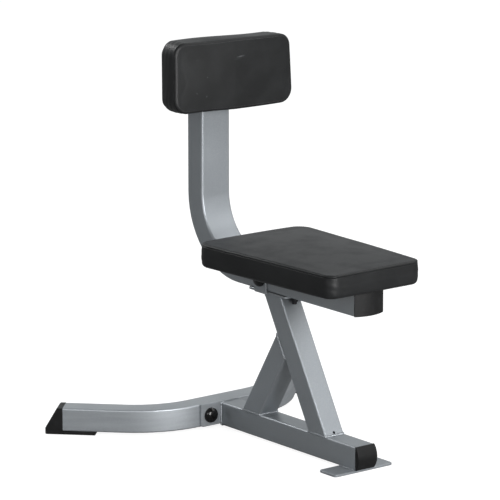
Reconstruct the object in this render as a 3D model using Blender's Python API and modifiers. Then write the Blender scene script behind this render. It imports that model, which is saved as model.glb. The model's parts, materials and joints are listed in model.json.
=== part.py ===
"""Gym utility stool: a seat pad and a back pad on one bent tube, carried by a welded A-shaped frame.

Lengths are in metres. The stool faces -Y, +Z is up and the floor is at Z = 0. Its pieces are laid
out from the front end of the base rail, and the whole stool is then centred on the origin.
"""

import math
from collections import namedtuple

import bmesh
import bpy
from mathutils import Matrix, Vector

MM = 0.001
ACROSS = Vector((1, 0, 0))
BACKWARD = Vector((0, 1, 0))
FORWARD = Vector((0, -1, 0))
UPWARD = Vector((0, 0, 1))
DOWNWARD = Vector((0, 0, -1))
SIDES = {"left": -1, "right": 1}

# Air left between two pieces that touch on the real stool
GAP = 0.3 * MM

# Square frame tube: base rail, main leg, rear brace and stabilizer
TUBE = 50.8 * MM
TUBE_WALL = 3.0 * MM
TUBE_CORNER = 4.0 * MM

# Base rail, and the plates under its front and on its rear end
RAIL_LENGTH = 450 * MM
FOOT_PLATE_LENGTH = 156 * MM
FOOT_PLATE_DEPTH = 54 * MM
FOOT_PLATE_THICKNESS = 5 * MM
FOOT_PLATE_CORNER = 7 * MM
REAR_PLATE_THICKNESS = 6 * MM
REAR_PLATE_MARGIN = 1.5 * MM
REAR_PLATE_RAISE = 1 * MM
REAR_PLATE_CORNER = 6 * MM
REAR_PLATE_TOP_CORNER = 1.5 * MM

# Main leg and rear brace: lean from the vertical, and distance from the rail's nearer end
LEG_LEAN = math.radians(29)
LEG_SETBACK = 96 * MM
BRACE_LEAN = math.radians(31.5)
BRACE_SETBACK = 73 * MM
VENT_DIAMETER = 6 * MM
VENT_HEIGHT = 6 * MM

# Stabilizer: straight middle run, two bends, and the arms swept to the rear
STABILIZER_MIDDLE = 154 * MM
STABILIZER_BEND = 200 * MM
STABILIZER_SWEEP = math.radians(45)
STABILIZER_ARM = 129 * MM
STABILIZER_BOLT_INSET = 23 * MM

# Slanted end caps of the stabilizer
SOLE_THICKNESS = 7 * MM
SOLE_REACH = 71 * MM
NOSE_TOP = 12.5 * MM
NOSE_FOOT = 38 * MM
NOSE_FOOT_HEIGHT = 14 * MM
NOSE_ROUNDING = 5 * MM
SOLE_ROUNDING = 2.5 * MM

# Plugs and arched noses of all end caps
PLUG_LENGTH = 25 * MM
PLUG_WALL = 2.5 * MM
PLUG_CLEARANCE = 0.5 * MM
PLUG_ROUNDING = 1 * MM
CAP_FLANGE = 2 * MM
CAP_ARCH = 10 * MM
CAP_EDGE = 1.2 * MM
CAP_EDGE_STEPS = 1

# Rectangular tube of the seat rail and back post, and its path from front to top
SEAT_TUBE_WIDTH = 76.2 * MM
SEAT_TUBE_DEPTH = 50.8 * MM
SEAT_TUBE_WALL = 3.0 * MM
SEAT_TUBE_CORNER = 5.0 * MM
SEAT_RAIL_HEIGHT = 336 * MM
SEAT_RAIL_FORWARD = 224 * MM
SADDLE_TO_BEND = 39.4 * MM
SEAT_RAIL_BEND = 146 * MM
RECLINE_RISE = 354 * MM
RECLINE_BEND = 300 * MM
RECLINE = math.radians(2.5)
POST_END = 123 * MM

# Saddle under the seat rail: a plate on the main leg, and an ear on each side
SADDLE_THICKNESS = 5 * MM
SADDLE_CORNER = 5 * MM
SADDLE_EDGE = 15.5 * MM
NUT_ROOM = 2 * MM
EAR_WIDTH = 38 * MM
EAR_THICKNESS = 5 * MM
EAR_SETBACK = 16 * MM
EAR_CORNER = 6 * MM
EAR_FOOT_CORNER = 1.5 * MM
EAR_TOP_MARGIN = 6 * MM
PLATE_EDGE = 0.7 * MM

# Seat pad: the cushion's plan, its height up to the seam, and its bolts along the seat rail
SEAT_REAR_WIDTH = 293 * MM
SEAT_FRONT_WIDTH = 246 * MM
SEAT_OVERHANG = 25 * MM
SEAT_TAIL = 5.6 * MM
SEAT_HEM = 9.3 * MM
SEAT_FRONT_CORNER = 25 * MM
SEAT_REAR_CORNER = 34 * MM
SEAT_BAND = 46 * MM
SEAT_CROWN = 4 * MM
SEAT_BOLT_FRONT = 69 * MM
SEAT_BOLT_SETBACK = 20.4 * MM

# Back pad: the same, measured up the reclined end of the post
BACK_LOWER_WIDTH = 309 * MM
BACK_UPPER_WIDTH = 301 * MM
BACK_HEIGHT = 151 * MM
BACK_DROP = 10 * MM
BACK_LOWER_CORNER = 35 * MM
BACK_UPPER_CORNER = 27 * MM
BACK_BAND = 62 * MM
BACK_CROWN = 3 * MM
BACK_HEM = 14 * MM
BACK_BOLT_LOWER = 31 * MM
BACK_BOLT_SPACING = 50 * MM

# Sewn shape of both cushions
BAND_BULGE = 1 * MM
SEAM_DEPTH = 1.6 * MM
SEAM_HALF_WIDTH = 1.4 * MM
ROLL_HEIGHT = 3.5 * MM
ROLL_WIDTH = 7 * MM

# Plywood boards in the cushions
BOARD_THICKNESS = 12 * MM
BOARD_MARGIN = 3 * MM
HEAD_RELIEF = 1 * MM

# Frame bolts: shank, heads, washers and lock nuts
BOLT = 10 * MM
BOLT_HEAD_FLATS = 17 * MM
BOLT_HEAD_HEIGHT = 6.4 * MM
BOLT_CHAMFER = 0.8 * MM
WASHER = 20 * MM
WASHER_THICKNESS = 2 * MM
NUT_FLATS = 17 * MM
NUT_HEIGHT = 10 * MM
NUT_COLLAR = 14.5 * MM
NUT_COLLAR_HEIGHT = 2.5 * MM
CARRIAGE_HEAD = 20 * MM
CARRIAGE_HEAD_HEIGHT = 5 * MM
CARRIAGE_NECK = 10.4 * MM
CARRIAGE_NECK_HEIGHT = 5.5 * MM
THREAD_SHOWING = 6 * MM
THREAD_CAPPED = 0.6 * MM
HOLE_CLEARANCE = 0.5 * MM

# Domed caps over the frame bolts
BOLT_CAP = 33 * MM
BOLT_CAP_BORE = 21.4 * MM
BOLT_CAP_RIM = 3 * MM
BOLT_CAP_WALL = 1.5 * MM
BOLT_CAP_FULLNESS = 0.8

# Pad bolts, their washers, T-nuts and access holes
PAD_BOLT = 8 * MM
PAD_BOLT_HEAD_FLATS = 13 * MM
PAD_BOLT_HEAD_HEIGHT = 5.3 * MM
PAD_BOLT_TIP = 1 * MM
PAD_WASHER = 18 * MM
PAD_WASHER_THICKNESS = 1.6 * MM
TNUT_FLANGE = 22 * MM
TNUT_FLANGE_THICKNESS = 1.5 * MM
TNUT_BARREL = 10.6 * MM
TNUT_DEPTH = 9 * MM
ACCESS_HOLE = 24 * MM

# Facets of round shapes, and how near two points are to be one
CORNER_STEPS = 3
CUSHION_CORNER_STEPS = 5
ARCH_STEPS = 6
ROUND_STEPS = 18
BEND_STEPS = 14
SWEEP_STEPS = 8
RECLINE_STEPS = 2
HEM_STEPS = 3
BAND_STEPS = 5
ROLL_STEPS = 4
CROWN_STEPS = 4
CROWN_END = 0.2
SMOOTH_ANGLE = math.radians(35)
MERGE = 0.01 * MM

# Colours are linear: (colour, roughness, metallic)
SILVER_PAINT = ((0.33, 0.345, 0.355), 0.42, 0.55)
BLACK_PLASTIC = ((0.012, 0.012, 0.012), 0.45, 0.0)
BLACK_GLOSS = ((0.008, 0.008, 0.008), 0.18, 0.0)
BLACK_VINYL = ((0.02, 0.021, 0.022), 0.5, 0.0)
PLYWOOD = ((0.45, 0.31, 0.17), 0.7, 0.0)
BLACK_STEEL = ((0.015, 0.015, 0.016), 0.4, 0.8)
ZINC_STEEL = ((0.55, 0.56, 0.57), 0.35, 1.0)

Tube = namedtuple("Tube", "width depth wall corner")
FRAME_TUBE = Tube(TUBE, TUBE, TUBE_WALL, TUBE_CORNER)
SEAT_TUBE = Tube(SEAT_TUBE_WIDTH, SEAT_TUBE_DEPTH, SEAT_TUBE_WALL, SEAT_TUBE_CORNER)

# Heights and places along the stool that follow from the sizes above
RAIL_BOTTOM = FOOT_PLATE_THICKNESS + GAP
RAIL_TOP = RAIL_BOTTOM + TUBE
STABILIZER_BOTTOM = SOLE_THICKNESS + GAP
STABILIZER_AXIS_HEIGHT = STABILIZER_BOTTOM + TUBE / 2
REAR_PLATE_FRONT = RAIL_LENGTH + GAP
REAR_PLATE_LENGTH = STABILIZER_MIDDLE + 2 * REAR_PLATE_MARGIN
STABILIZER_FRONT = REAR_PLATE_FRONT + REAR_PLATE_THICKNESS + GAP
STABILIZER_BOLT_OFFSET = STABILIZER_MIDDLE / 2 - STABILIZER_BOLT_INSET
SADDLE_BOTTOM = SEAT_RAIL_HEIGHT - GAP - SADDLE_THICKNESS
LEG_TOP = SADDLE_BOTTOM - GAP
LEG_SECTION = TUBE / math.cos(LEG_LEAN)
SADDLE_CENTRE = LEG_SETBACK + (LEG_TOP - RAIL_TOP) * math.tan(LEG_LEAN) + LEG_SECTION / 2
NUT_STACK = GAP + WASHER_THICKNESS + GAP + NUT_HEIGHT
SADDLE_BOLT_OFFSET = LEG_SECTION / 2 + NUT_STACK * math.tan(LEG_LEAN) + NUT_FLATS / 2 + NUT_ROOM
SADDLE_LENGTH = 2 * (SADDLE_BOLT_OFFSET + SADDLE_EDGE)
EAR_CENTRE = SADDLE_CENTRE + EAR_SETBACK
SEAT_RAIL_TOP = SEAT_RAIL_HEIGHT + SEAT_TUBE_DEPTH
SEAT_RAIL_AXIS_HEIGHT = SEAT_RAIL_HEIGHT + SEAT_TUBE_DEPTH / 2
SEAT_RAIL_FRONT = SADDLE_CENTRE - SADDLE_LENGTH / 2 - SEAT_RAIL_FORWARD
BEND_START = SADDLE_CENTRE + SADDLE_LENGTH / 2 + SADDLE_TO_BEND
POST_AXIS = BEND_START + SEAT_RAIL_BEND
SEAT_FRONT = SEAT_RAIL_FRONT - SEAT_OVERHANG
SEAT_LENGTH = BEND_START + SEAT_TAIL - SEAT_FRONT
SADDLE_BOLTS = {"front": SADDLE_CENTRE - SADDLE_BOLT_OFFSET, "rear": SADDLE_CENTRE + SADDLE_BOLT_OFFSET}

# Plan of a pad from its start to its end, its height to the seam, and its crown and hem
Pad = namedtuple("Pad", "start length start_width end_width start_corner end_corner band crown hem")
SEAT_PLAN = (SEAT_FRONT_WIDTH, SEAT_REAR_WIDTH, SEAT_FRONT_CORNER, SEAT_REAR_CORNER)
BACK_PLAN = (BACK_LOWER_WIDTH, BACK_UPPER_WIDTH, BACK_LOWER_CORNER, BACK_UPPER_CORNER)
SEAT_PAD = Pad(0, SEAT_LENGTH, *SEAT_PLAN, SEAT_BAND, SEAT_CROWN, SEAT_HEM)
BACK_PAD = Pad(-BACK_DROP, BACK_HEIGHT, *BACK_PLAN, BACK_BAND, BACK_CROWN, BACK_HEM)

# The reclined end of the post: its direction, and where its axis leaves the bend
POST_HEADING = Vector((0, math.sin(RECLINE), math.cos(RECLINE)))
POST_FACING = Vector((0, -math.cos(RECLINE), math.sin(RECLINE)))
RECLINE_CENTRE = Vector((0, POST_AXIS + RECLINE_BEND, SEAT_RAIL_HEIGHT + RECLINE_RISE))
POST_FOOT = RECLINE_CENTRE + POST_FACING * RECLINE_BEND

# Where the stabilizer's axis crosses the middle, and the run of its right arm
STABILIZER_CENTRE = Vector((0, STABILIZER_FRONT + TUBE / 2, STABILIZER_AXIS_HEIGHT))
ARM_HEADING = Vector((math.cos(STABILIZER_SWEEP), math.sin(STABILIZER_SWEEP), 0))
ARM_SIDE = Vector((-math.sin(STABILIZER_SWEEP), math.cos(STABILIZER_SWEEP), 0))
ARM_END = (
    ACROSS * STABILIZER_MIDDLE / 2
    + BACKWARD * STABILIZER_BEND
    - ARM_SIDE * STABILIZER_BEND
    + ARM_HEADING * STABILIZER_ARM
)


def clear_scene():
    for item in list(bpy.data.objects):
        bpy.data.objects.remove(item, do_unlink=True)


def new_collection(name):
    made = bpy.data.collections.new(name)
    bpy.context.scene.collection.children.link(made)
    return made


def place(item, parent, at=(0, 0, 0), turn=None):
    """Puts an item in its parent's space, turned by a rotation matrix if one is given."""
    rotation = turn.to_4x4() if turn else Matrix.Identity(4)
    item.matrix_basis = Matrix.Translation(Vector(at)) @ rotation
    item.parent = parent
    return item


def axes(heading, hinge):
    """A rotation that takes local Z to the heading and local Y to the hinge."""
    return Matrix((hinge.cross(heading), hinge, heading)).transposed()


def guide(name, parent, at, turn=None):
    """An empty that carries the pieces of one group."""
    item = bpy.data.objects.new(name, None)
    CUTTERS.objects.link(item)
    return place(item, parent, at, turn)


def part(name, data, look, parent, at=(0, 0, 0), turn=None):
    """Makes mesh data a piece of the stool, with a material of its own."""
    colour, roughness, metallic = look
    material = bpy.data.materials.new(name + "_finish")
    material.use_nodes = True
    shader = material.node_tree.nodes["Principled BSDF"]
    shader.inputs["Base Color"].default_value = (*colour, 1)
    shader.inputs["Roughness"].default_value = roughness
    shader.inputs["Metallic"].default_value = metallic
    item = bpy.data.objects.new(name, data)
    PARTS.objects.link(item)
    if not data.materials:
        data.materials.append(None)
    item.material_slots[0].link = "OBJECT"
    item.material_slots[0].material = material
    return place(item, parent, at, turn)


def helper(name, data, parent, at=(0, 0, 0), turn=None):
    """Makes mesh data a hidden shape that Booleans use."""
    item = bpy.data.objects.new(name, data)
    CUTTERS.objects.link(item)
    item.hide_render = True
    item.display_type = "WIRE"
    return place(item, parent, at, turn)


def combine(item, other, operation="DIFFERENCE"):
    modifier = item.modifiers.new(other.name, "BOOLEAN")
    modifier.operation = operation
    modifier.object = other


def thicken(item, wall):
    """Gives an open skin a wall on its inner side."""
    modifier = item.modifiers.new("wall", "SOLIDIFY")
    modifier.thickness = wall
    modifier.offset = -1
    modifier.use_even_offset = True


def shaded(data):
    data.shade_smooth()
    data.set_sharp_from_angle(angle=SMOOTH_ANGLE)
    return data


def mesh_of(bm, name):
    """Turns a bmesh into mesh data, its faces outward if it is closed."""
    bmesh.ops.recalc_face_normals(bm, faces=bm.faces)
    data = bpy.data.meshes.new(name)
    bm.to_mesh(data)
    bm.free()
    return shaded(data)


def arc(centre, radius, start, sweep, steps):
    """Points of a flat arc, with both its ends."""
    angles = [start + sweep * step / steps for step in range(steps + 1)]
    return [Vector(centre) + radius * Vector((math.cos(angle), math.sin(angle))) for angle in angles]


def circle(diameter, centre=(0, 0)):
    return arc(centre, diameter / 2, 0, math.tau, ROUND_STEPS)[:-1]


def filleted(corners, radii, steps=CORNER_STEPS):
    """An outline with an arc of its own radius at each corner, or the bare corner for a radius of 0."""
    points = []
    for index, (corner, radius) in enumerate(zip(corners, radii)):
        if not radius:
            points.append(corner)
            continue
        before = (corners[index - 1] - corner).normalized()
        after = (corners[(index + 1) % len(corners)] - corner).normalized()
        half = before.angle(after) / 2
        centre = corner + (before + after).normalized() * radius / math.sin(half)
        start = corner + before * radius / math.tan(half) - centre
        sweep = math.copysign(math.pi - 2 * half, after.cross(before))
        points += arc(centre, radius, math.atan2(start.y, start.x), sweep, steps)
    return points


def rectangle(width, height, radius, lower_radius=None):
    """A rounded rectangle about the origin, whose lower corners can have a radius of their own."""
    x, y = width / 2, height / 2
    corners = [Vector((-x, -y)), Vector((x, -y)), Vector((x, y)), Vector((-x, y))]
    below = radius if lower_radius is None else lower_radius
    return filleted(corners, [below, below, radius, radius])


def shrunk(tube, inset):
    """The section of a tube at some depth under its surface."""
    corner = max(tube.corner - inset, PLUG_ROUNDING)
    return rectangle(tube.width - 2 * inset, tube.depth - 2 * inset, corner)


def extruded(name, loops, thickness, edge=0, edge_steps=0):
    """Mesh data of a flat outline with holes, extruded evenly to both sides, its rims eased by the edge."""
    drawn = bpy.data.curves.new(name, "CURVE")
    drawn.dimensions = "2D"
    drawn.fill_mode = "BOTH"
    drawn.extrude = thickness / 2 - edge
    drawn.bevel_depth = edge
    drawn.bevel_resolution = edge_steps
    drawn.offset = -edge
    for loop in loops:
        spline = drawn.splines.new("POLY")
        spline.points.add(len(loop) - 1)
        for point, (x, y) in zip(spline.points, loop):
            point.co = (x, y, 0, 1)
        spline.use_cyclic_u = True
    holder = bpy.data.objects.new(name, drawn)
    CUTTERS.objects.link(holder)
    graph = bpy.context.evaluated_depsgraph_get()
    data = bpy.data.meshes.new_from_object(holder.evaluated_get(graph))
    bpy.data.objects.remove(holder)
    bm = bmesh.new()
    bm.from_mesh(data)
    bmesh.ops.remove_doubles(bm, verts=bm.verts, dist=MERGE)
    bm.to_mesh(data)
    bm.free()
    data.name = name
    data.materials.clear()
    return shaded(data)


def ring_edges(bm, points):
    """Draws a closed ring of edges."""
    verts = [bm.verts.new(point) for point in points]
    return [bm.edges.new((verts[index - 1], verts[index])) for index in range(len(verts))]


def lofted(name, rings, hollow=False):
    """Mesh data through rings of as many points each: closed at both ends, or back to the first ring."""
    bm = bmesh.new()
    drawn = [[bm.verts.new(point) for point in ring] for ring in rings]
    pairs = list(zip(drawn, drawn[1:]))
    if hollow:
        pairs.append((drawn[-1], drawn[0]))
    else:
        bm.faces.new(drawn[0])
        bm.faces.new(drawn[-1])
    for near, far in pairs:
        for index in range(len(near)):
            bm.faces.new((near[index - 1], near[index], far[index], far[index - 1]))
    return mesh_of(bm, name)


def turned(name, profile, look, parent, at=(0, 0, 0), turn=None):
    """A piece turned about local Z from a profile of (radius, height), which runs down its outer side."""
    data = bpy.data.meshes.new(name)
    closed = profile[0][0] > MERGE
    count = len(profile)
    edges = [(index, (index + 1) % count) for index in range(count if closed else count - 1)]
    data.from_pydata([(radius, 0, height) for radius, height in profile], edges, [])
    item = part(name, data, look, parent, at, turn)
    modifier = item.modifiers.new("turned", "SCREW")
    modifier.steps = ROUND_STEPS
    modifier.render_steps = ROUND_STEPS
    modifier.use_merge_vertices = True
    modifier.merge_threshold = MERGE
    modifier.use_smooth_shade = True
    return item


def new_edges(geometry):
    """The edges at the far end of what was extruded or spun."""
    verts = {item for item in geometry if isinstance(item, bmesh.types.BMVert)}
    edges = {edge for vert in verts for edge in vert.link_edges}
    return [edge for edge in edges if edge.verts[0] in verts and edge.verts[1] in verts]


def run(bm, ring, step):
    """Carries a ring of edges straight on, and gives the ring at the far end."""
    made = bmesh.ops.extrude_edge_only(bm, edges=ring)["geom"]
    verts = [item for item in made if isinstance(item, bmesh.types.BMVert)]
    bmesh.ops.translate(bm, verts=verts, vec=step)
    return new_edges(made)


def bend(bm, ring, centre, axis, angle, steps):
    """Carries a ring of edges round a centre, and gives the ring at the far end."""
    verts = list({vert for edge in ring for vert in edge.verts})
    made = bmesh.ops.spin(bm, geom=verts + ring, cent=centre, axis=axis, angle=angle, steps=steps)
    return new_edges(made["geom_last"])


def drill(item, diameter, length, parent, at, turn=None):
    """Bores a round hole whose middle is at the given place, along local Z of the turn."""
    bm = bmesh.new()
    size = {"radius1": diameter / 2, "radius2": diameter / 2, "depth": length}
    bmesh.ops.create_cone(bm, cap_ends=True, segments=ROUND_STEPS, **size)
    combine(item, helper(item.name + "_hole", mesh_of(bm, "hole"), parent, at, turn))


def block(name, size, parent, at, turn=None):
    """A hidden box with its middle at the given place."""
    bm = bmesh.new()
    bmesh.ops.create_cube(bm, size=1)
    bmesh.ops.scale(bm, vec=size, verts=bm.verts)
    return helper(name, mesh_of(bm, name), parent, at, turn)


def mitre(item, parent, at, normal):
    """Cuts off what lies past a plane, on the side that its normal points to."""
    side = 8 * TUBE
    middle = Vector(at) + normal * side / 2
    combine(item, block(item.name + "_mitre", (side, side, side), parent, middle, axes(normal, ACROSS)))


def hexagon(flats, height):
    """A ring on a hexagon with flats across local X, with as many points as a round one."""
    points = []
    for step in range(ROUND_STEPS):
        angle = math.tau * step / ROUND_STEPS
        from_flat = (angle + math.pi / 6) % (math.pi / 3) - math.pi / 6
        radius = flats / 2 / math.cos(from_flat)
        points.append((radius * math.cos(angle), radius * math.sin(angle), height))
    return points


def round_ring(diameter, height):
    return [(point.x, point.y, height) for point in circle(diameter)]


def hex_bolt(name, look, parent, at, turn, diameter, flats, head, length):
    """A hexagon bolt: its head under local Z = 0, and its shank from there up local Z."""
    rings = [
        round_ring(flats - BOLT_CHAMFER, -head),
        hexagon(flats, BOLT_CHAMFER - head),
        hexagon(flats, 0),
        round_ring(diameter, 0),
        round_ring(diameter, length - BOLT_CHAMFER),
        round_ring(diameter - 2 * BOLT_CHAMFER, length),
    ]
    return part(name, lofted(name, rings), look, parent, at, turn)


def lock_nut(name, look, parent, at, turn):
    """A lock nut that stands on local Z = 0, its round collar up."""
    bore = BOLT + 2 * GAP
    rings = [
        round_ring(bore, 0),
        round_ring(NUT_FLATS - BOLT_CHAMFER, 0),
        hexagon(NUT_FLATS, BOLT_CHAMFER),
        hexagon(NUT_FLATS, NUT_HEIGHT - NUT_COLLAR_HEIGHT),
        round_ring(NUT_COLLAR, NUT_HEIGHT - NUT_COLLAR_HEIGHT),
        round_ring(NUT_COLLAR, NUT_HEIGHT),
        round_ring(bore, NUT_HEIGHT),
    ]
    return part(name, lofted(name, rings, hollow=True), look, parent, at, turn)


def washer(name, look, parent, at, turn, outside, inside, thickness):
    """A flat washer that stands on local Z = 0."""
    data = extruded(name, [circle(outside), circle(inside)], thickness)
    return part(name, data, look, parent, Vector(at) + turn @ UPWARD * thickness / 2, turn)


def carriage_bolt(name, look, parent, at, turn, length):
    """A bolt with a domed head over local Z = 0, a square neck under it, and its shank down local Z."""
    half_head = CARRIAGE_HEAD / 2
    dome_radius = (half_head**2 + CARRIAGE_HEAD_HEIGHT**2) / (2 * CARRIAGE_HEAD_HEIGHT)
    dome_angle = math.asin(half_head / dome_radius)
    centre = (0, CARRIAGE_HEAD_HEIGHT - dome_radius)
    dome = arc(centre, dome_radius, math.pi / 2, -dome_angle, CORNER_STEPS)
    shank = BOLT / 2
    ends = [(shank, 0), (shank, BOLT_CHAMFER - length), (shank - BOLT_CHAMFER, -length), (0, -length)]
    item = turned(name, [(0, CARRIAGE_HEAD_HEIGHT)] + dome[1:] + ends, look, parent, at, turn)
    neck_height = CARRIAGE_NECK_HEIGHT + CARRIAGE_HEAD_HEIGHT / 2
    middle = Vector(at) + turn @ UPWARD * (CARRIAGE_HEAD_HEIGHT / 2 - neck_height / 2)
    size = (CARRIAGE_NECK, CARRIAGE_NECK, neck_height)
    combine(item, block(name + "_neck", size, parent, middle, turn), "UNION")
    return item


def bolt_cap(name, parent, at, turn, covered):
    """A domed cap that stands on local Z = 0 over a bolt's end, its wall over the bore's upper corner."""
    outside, inside = BOLT_CAP / 2, BOLT_CAP_BORE / 2
    roof = covered + GAP
    over_corner = math.asin((inside / outside) ** (1 / BOLT_CAP_FULLNESS))
    rise = (roof + BOLT_CAP_WALL - BOLT_CAP_RIM) / math.cos(over_corner)
    angles = [math.pi / 2 * step / ARCH_STEPS for step in range(1, ARCH_STEPS + 1)]
    radii = [outside * math.sin(angle) ** BOLT_CAP_FULLNESS for angle in angles]
    dome = [(radius, BOLT_CAP_RIM + rise * math.cos(angle)) for radius, angle in zip(radii, angles)]
    profile = [(0, BOLT_CAP_RIM + rise)] + dome + [(outside, 0), (inside, 0), (inside, roof), (0, roof)]
    return turned(name, profile, BLACK_GLOSS, parent, at, turn)


def add_plug(cap, tube, parent, end, outward, hinge):
    """Joins a hollow plug to a cap, inside the tube that ends at the given place."""
    outer = shrunk(tube, tube.wall + PLUG_CLEARANCE)
    inner = shrunk(tube, tube.wall + PLUG_CLEARANCE + PLUG_WALL)
    overlap = GAP + CAP_FLANGE / 2
    data = extruded(cap.name + "_plug", [outer, inner], PLUG_LENGTH + overlap)
    middle = Vector(end) + outward * (overlap - PLUG_LENGTH) / 2
    combine(cap, helper(cap.name + "_plug", data, parent, middle, axes(outward, hinge)), "UNION")


def arched_cap(name, tube, parent, end, outward, hinge, over_width):
    """An end cap with an arched nose, over the tube's width or over its depth."""
    if over_width:
        span_axis, span, breadth = hinge.cross(outward), tube.width, tube.depth
    else:
        span_axis, span, breadth = hinge, tube.depth, tube.width
    half = span / 2
    radius = (half**2 + CAP_ARCH**2) / (2 * CAP_ARCH)
    angle = math.asin(half / radius)
    crown = arc((CAP_FLANGE + CAP_ARCH - radius, 0), radius, -angle, 2 * angle, ARCH_STEPS)
    outline = [Vector((0, -half))] + crown + [Vector((0, half))]
    data = extruded(name, [outline], breadth, CAP_EDGE, CAP_EDGE_STEPS)
    turn = axes(outward.cross(span_axis), span_axis)
    cap = part(name, data, BLACK_PLASTIC, parent, Vector(end) + outward * GAP, turn)
    add_plug(cap, tube, parent, end, outward, hinge)


def stabilizer_cap(name, parent, end, outward):
    """An end cap with a slanted nose and a sole that runs back under the tube."""
    floor = -STABILIZER_AXIS_HEIGHT
    top = TUBE / 2
    corners = [
        (-SOLE_REACH, floor),
        (NOSE_FOOT, floor),
        (NOSE_FOOT, floor + NOSE_FOOT_HEIGHT),
        (NOSE_TOP, top),
        (GAP, top),
        (GAP, floor + SOLE_THICKNESS),
        (-SOLE_REACH, floor + SOLE_THICKNESS),
    ]
    radii = [SOLE_ROUNDING, SOLE_ROUNDING, NOSE_ROUNDING, NOSE_ROUNDING, 0, 0, SOLE_ROUNDING]
    outline = filleted([Vector(corner) for corner in corners], radii)
    data = extruded(name, [outline], TUBE, CAP_EDGE, CAP_EDGE_STEPS)
    cap = part(name, data, BLACK_PLASTIC, parent, end, axes(outward.cross(UPWARD), UPWARD))
    add_plug(cap, FRAME_TUBE, parent, end, outward, UPWARD)


def frame_tube(name, parent, middle, heading, length):
    """A straight piece of the square tube, open at both ends."""
    loops = [shrunk(FRAME_TUBE, 0), shrunk(FRAME_TUBE, TUBE_WALL)]
    return part(name, extruded(name, loops, length), SILVER_PAINT, parent, middle, axes(heading, ACROSS))


def plate(name, outline, holes, thickness, parent, middle, turn):
    """A flat steel plate with eased edges."""
    data = extruded(name, [outline, *holes], thickness, PLATE_EDGE)
    return part(name, data, SILVER_PAINT, parent, middle, turn)


def build_base(root):
    """The base rail with its end cap, and the plates under its front and on its rear end."""
    middle = (0, RAIL_LENGTH / 2, RAIL_BOTTOM + TUBE / 2)
    frame_tube("base_rail", root, middle, BACKWARD, RAIL_LENGTH)
    front_end = (0, 0, RAIL_BOTTOM + TUBE / 2)
    arched_cap("base_rail_cap", FRAME_TUBE, root, front_end, FORWARD, UPWARD, over_width=False)
    outline = rectangle(FOOT_PLATE_LENGTH, FOOT_PLATE_DEPTH, FOOT_PLATE_CORNER)
    middle = (0, FOOT_PLATE_DEPTH / 2, FOOT_PLATE_THICKNESS / 2)
    plate("foot_plate", outline, [], FOOT_PLATE_THICKNESS, root, middle, None)
    outline = rectangle(REAR_PLATE_LENGTH, TUBE, REAR_PLATE_TOP_CORNER, REAR_PLATE_CORNER)
    hole = BOLT + 2 * HOLE_CLEARANCE
    holes = [circle(hole, (side * STABILIZER_BOLT_OFFSET, -REAR_PLATE_RAISE)) for side in SIDES.values()]
    height = STABILIZER_AXIS_HEIGHT + REAR_PLATE_RAISE
    middle = (0, REAR_PLATE_FRONT + REAR_PLATE_THICKNESS / 2, height)
    plate("rear_plate", outline, holes, REAR_PLATE_THICKNESS, root, middle, axes(FORWARD, UPWARD))


def build_main_leg(root):
    """The leaning leg from the base rail to the saddle, with a vent hole at its foot."""
    heading = Vector((0, math.sin(LEG_LEAN), math.cos(LEG_LEAN)))
    facing = Vector((0, -math.cos(LEG_LEAN), math.sin(LEG_LEAN)))
    foot = Vector((0, LEG_SETBACK + LEG_SECTION / 2, RAIL_TOP))
    length = (LEG_TOP - RAIL_TOP) / math.cos(LEG_LEAN)
    leg = frame_tube("main_leg", root, foot + heading * length / 2, heading, length + 2 * TUBE)
    mitre(leg, root, foot + UPWARD * GAP, DOWNWARD)
    mitre(leg, root, foot + heading * length, UPWARD)
    vent = foot + FORWARD * LEG_SECTION / 2 + heading * VENT_HEIGHT
    drill(leg, VENT_DIAMETER, 4 * TUBE_WALL, root, vent, axes(facing, ACROSS))


def build_rear_brace(root):
    """The brace from the base rail's rear to the main leg's rear face."""
    heading = Vector((0, -math.sin(BRACE_LEAN), math.cos(BRACE_LEAN)))
    to_leg = Vector((0, -math.cos(LEG_LEAN), math.sin(LEG_LEAN)))
    section = TUBE / math.cos(BRACE_LEAN)
    foot = Vector((0, RAIL_LENGTH - BRACE_SETBACK - section / 2, RAIL_TOP))
    leg_rear = Vector((0, LEG_SETBACK + LEG_SECTION, RAIL_TOP))
    length = (leg_rear - foot).dot(to_leg) / heading.dot(to_leg)
    brace = frame_tube("rear_brace", root, foot + heading * length / 2, heading, length + 2 * TUBE)
    mitre(brace, root, foot + UPWARD * GAP, DOWNWARD)
    mitre(brace, root, foot + heading * length - to_leg * GAP, to_leg)


def build_stabilizer(root):
    """The swept cross tube with its end caps, and the bolts that hold it to the rear plate."""
    bm = bmesh.new()
    ring = ring_edges(bm, [(0, y, z) for y, z in shrunk(FRAME_TUBE, 0)])
    ring = run(bm, ring, ACROSS * STABILIZER_MIDDLE / 2)
    centre = (STABILIZER_MIDDLE / 2, STABILIZER_BEND, 0)
    ring = bend(bm, ring, centre, UPWARD, STABILIZER_SWEEP, SWEEP_STEPS)
    run(bm, ring, ARM_HEADING * STABILIZER_ARM)
    tube = part("stabilizer_tube", mesh_of(bm, "stabilizer_tube"), SILVER_PAINT, root, STABILIZER_CENTRE)
    halves = tube.modifiers.new("both halves", "MIRROR")
    halves.merge_threshold = MERGE
    thicken(tube, TUBE_WALL)
    for name, side in SIDES.items():
        mirrored = Vector((side, 1, 1))
        end = STABILIZER_CENTRE + ARM_END * mirrored
        stabilizer_cap("stabilizer_cap_" + name, root, end, ARM_HEADING * mirrored)
        bolt_stabilizer(root, tube, name, side * STABILIZER_BOLT_OFFSET)


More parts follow.
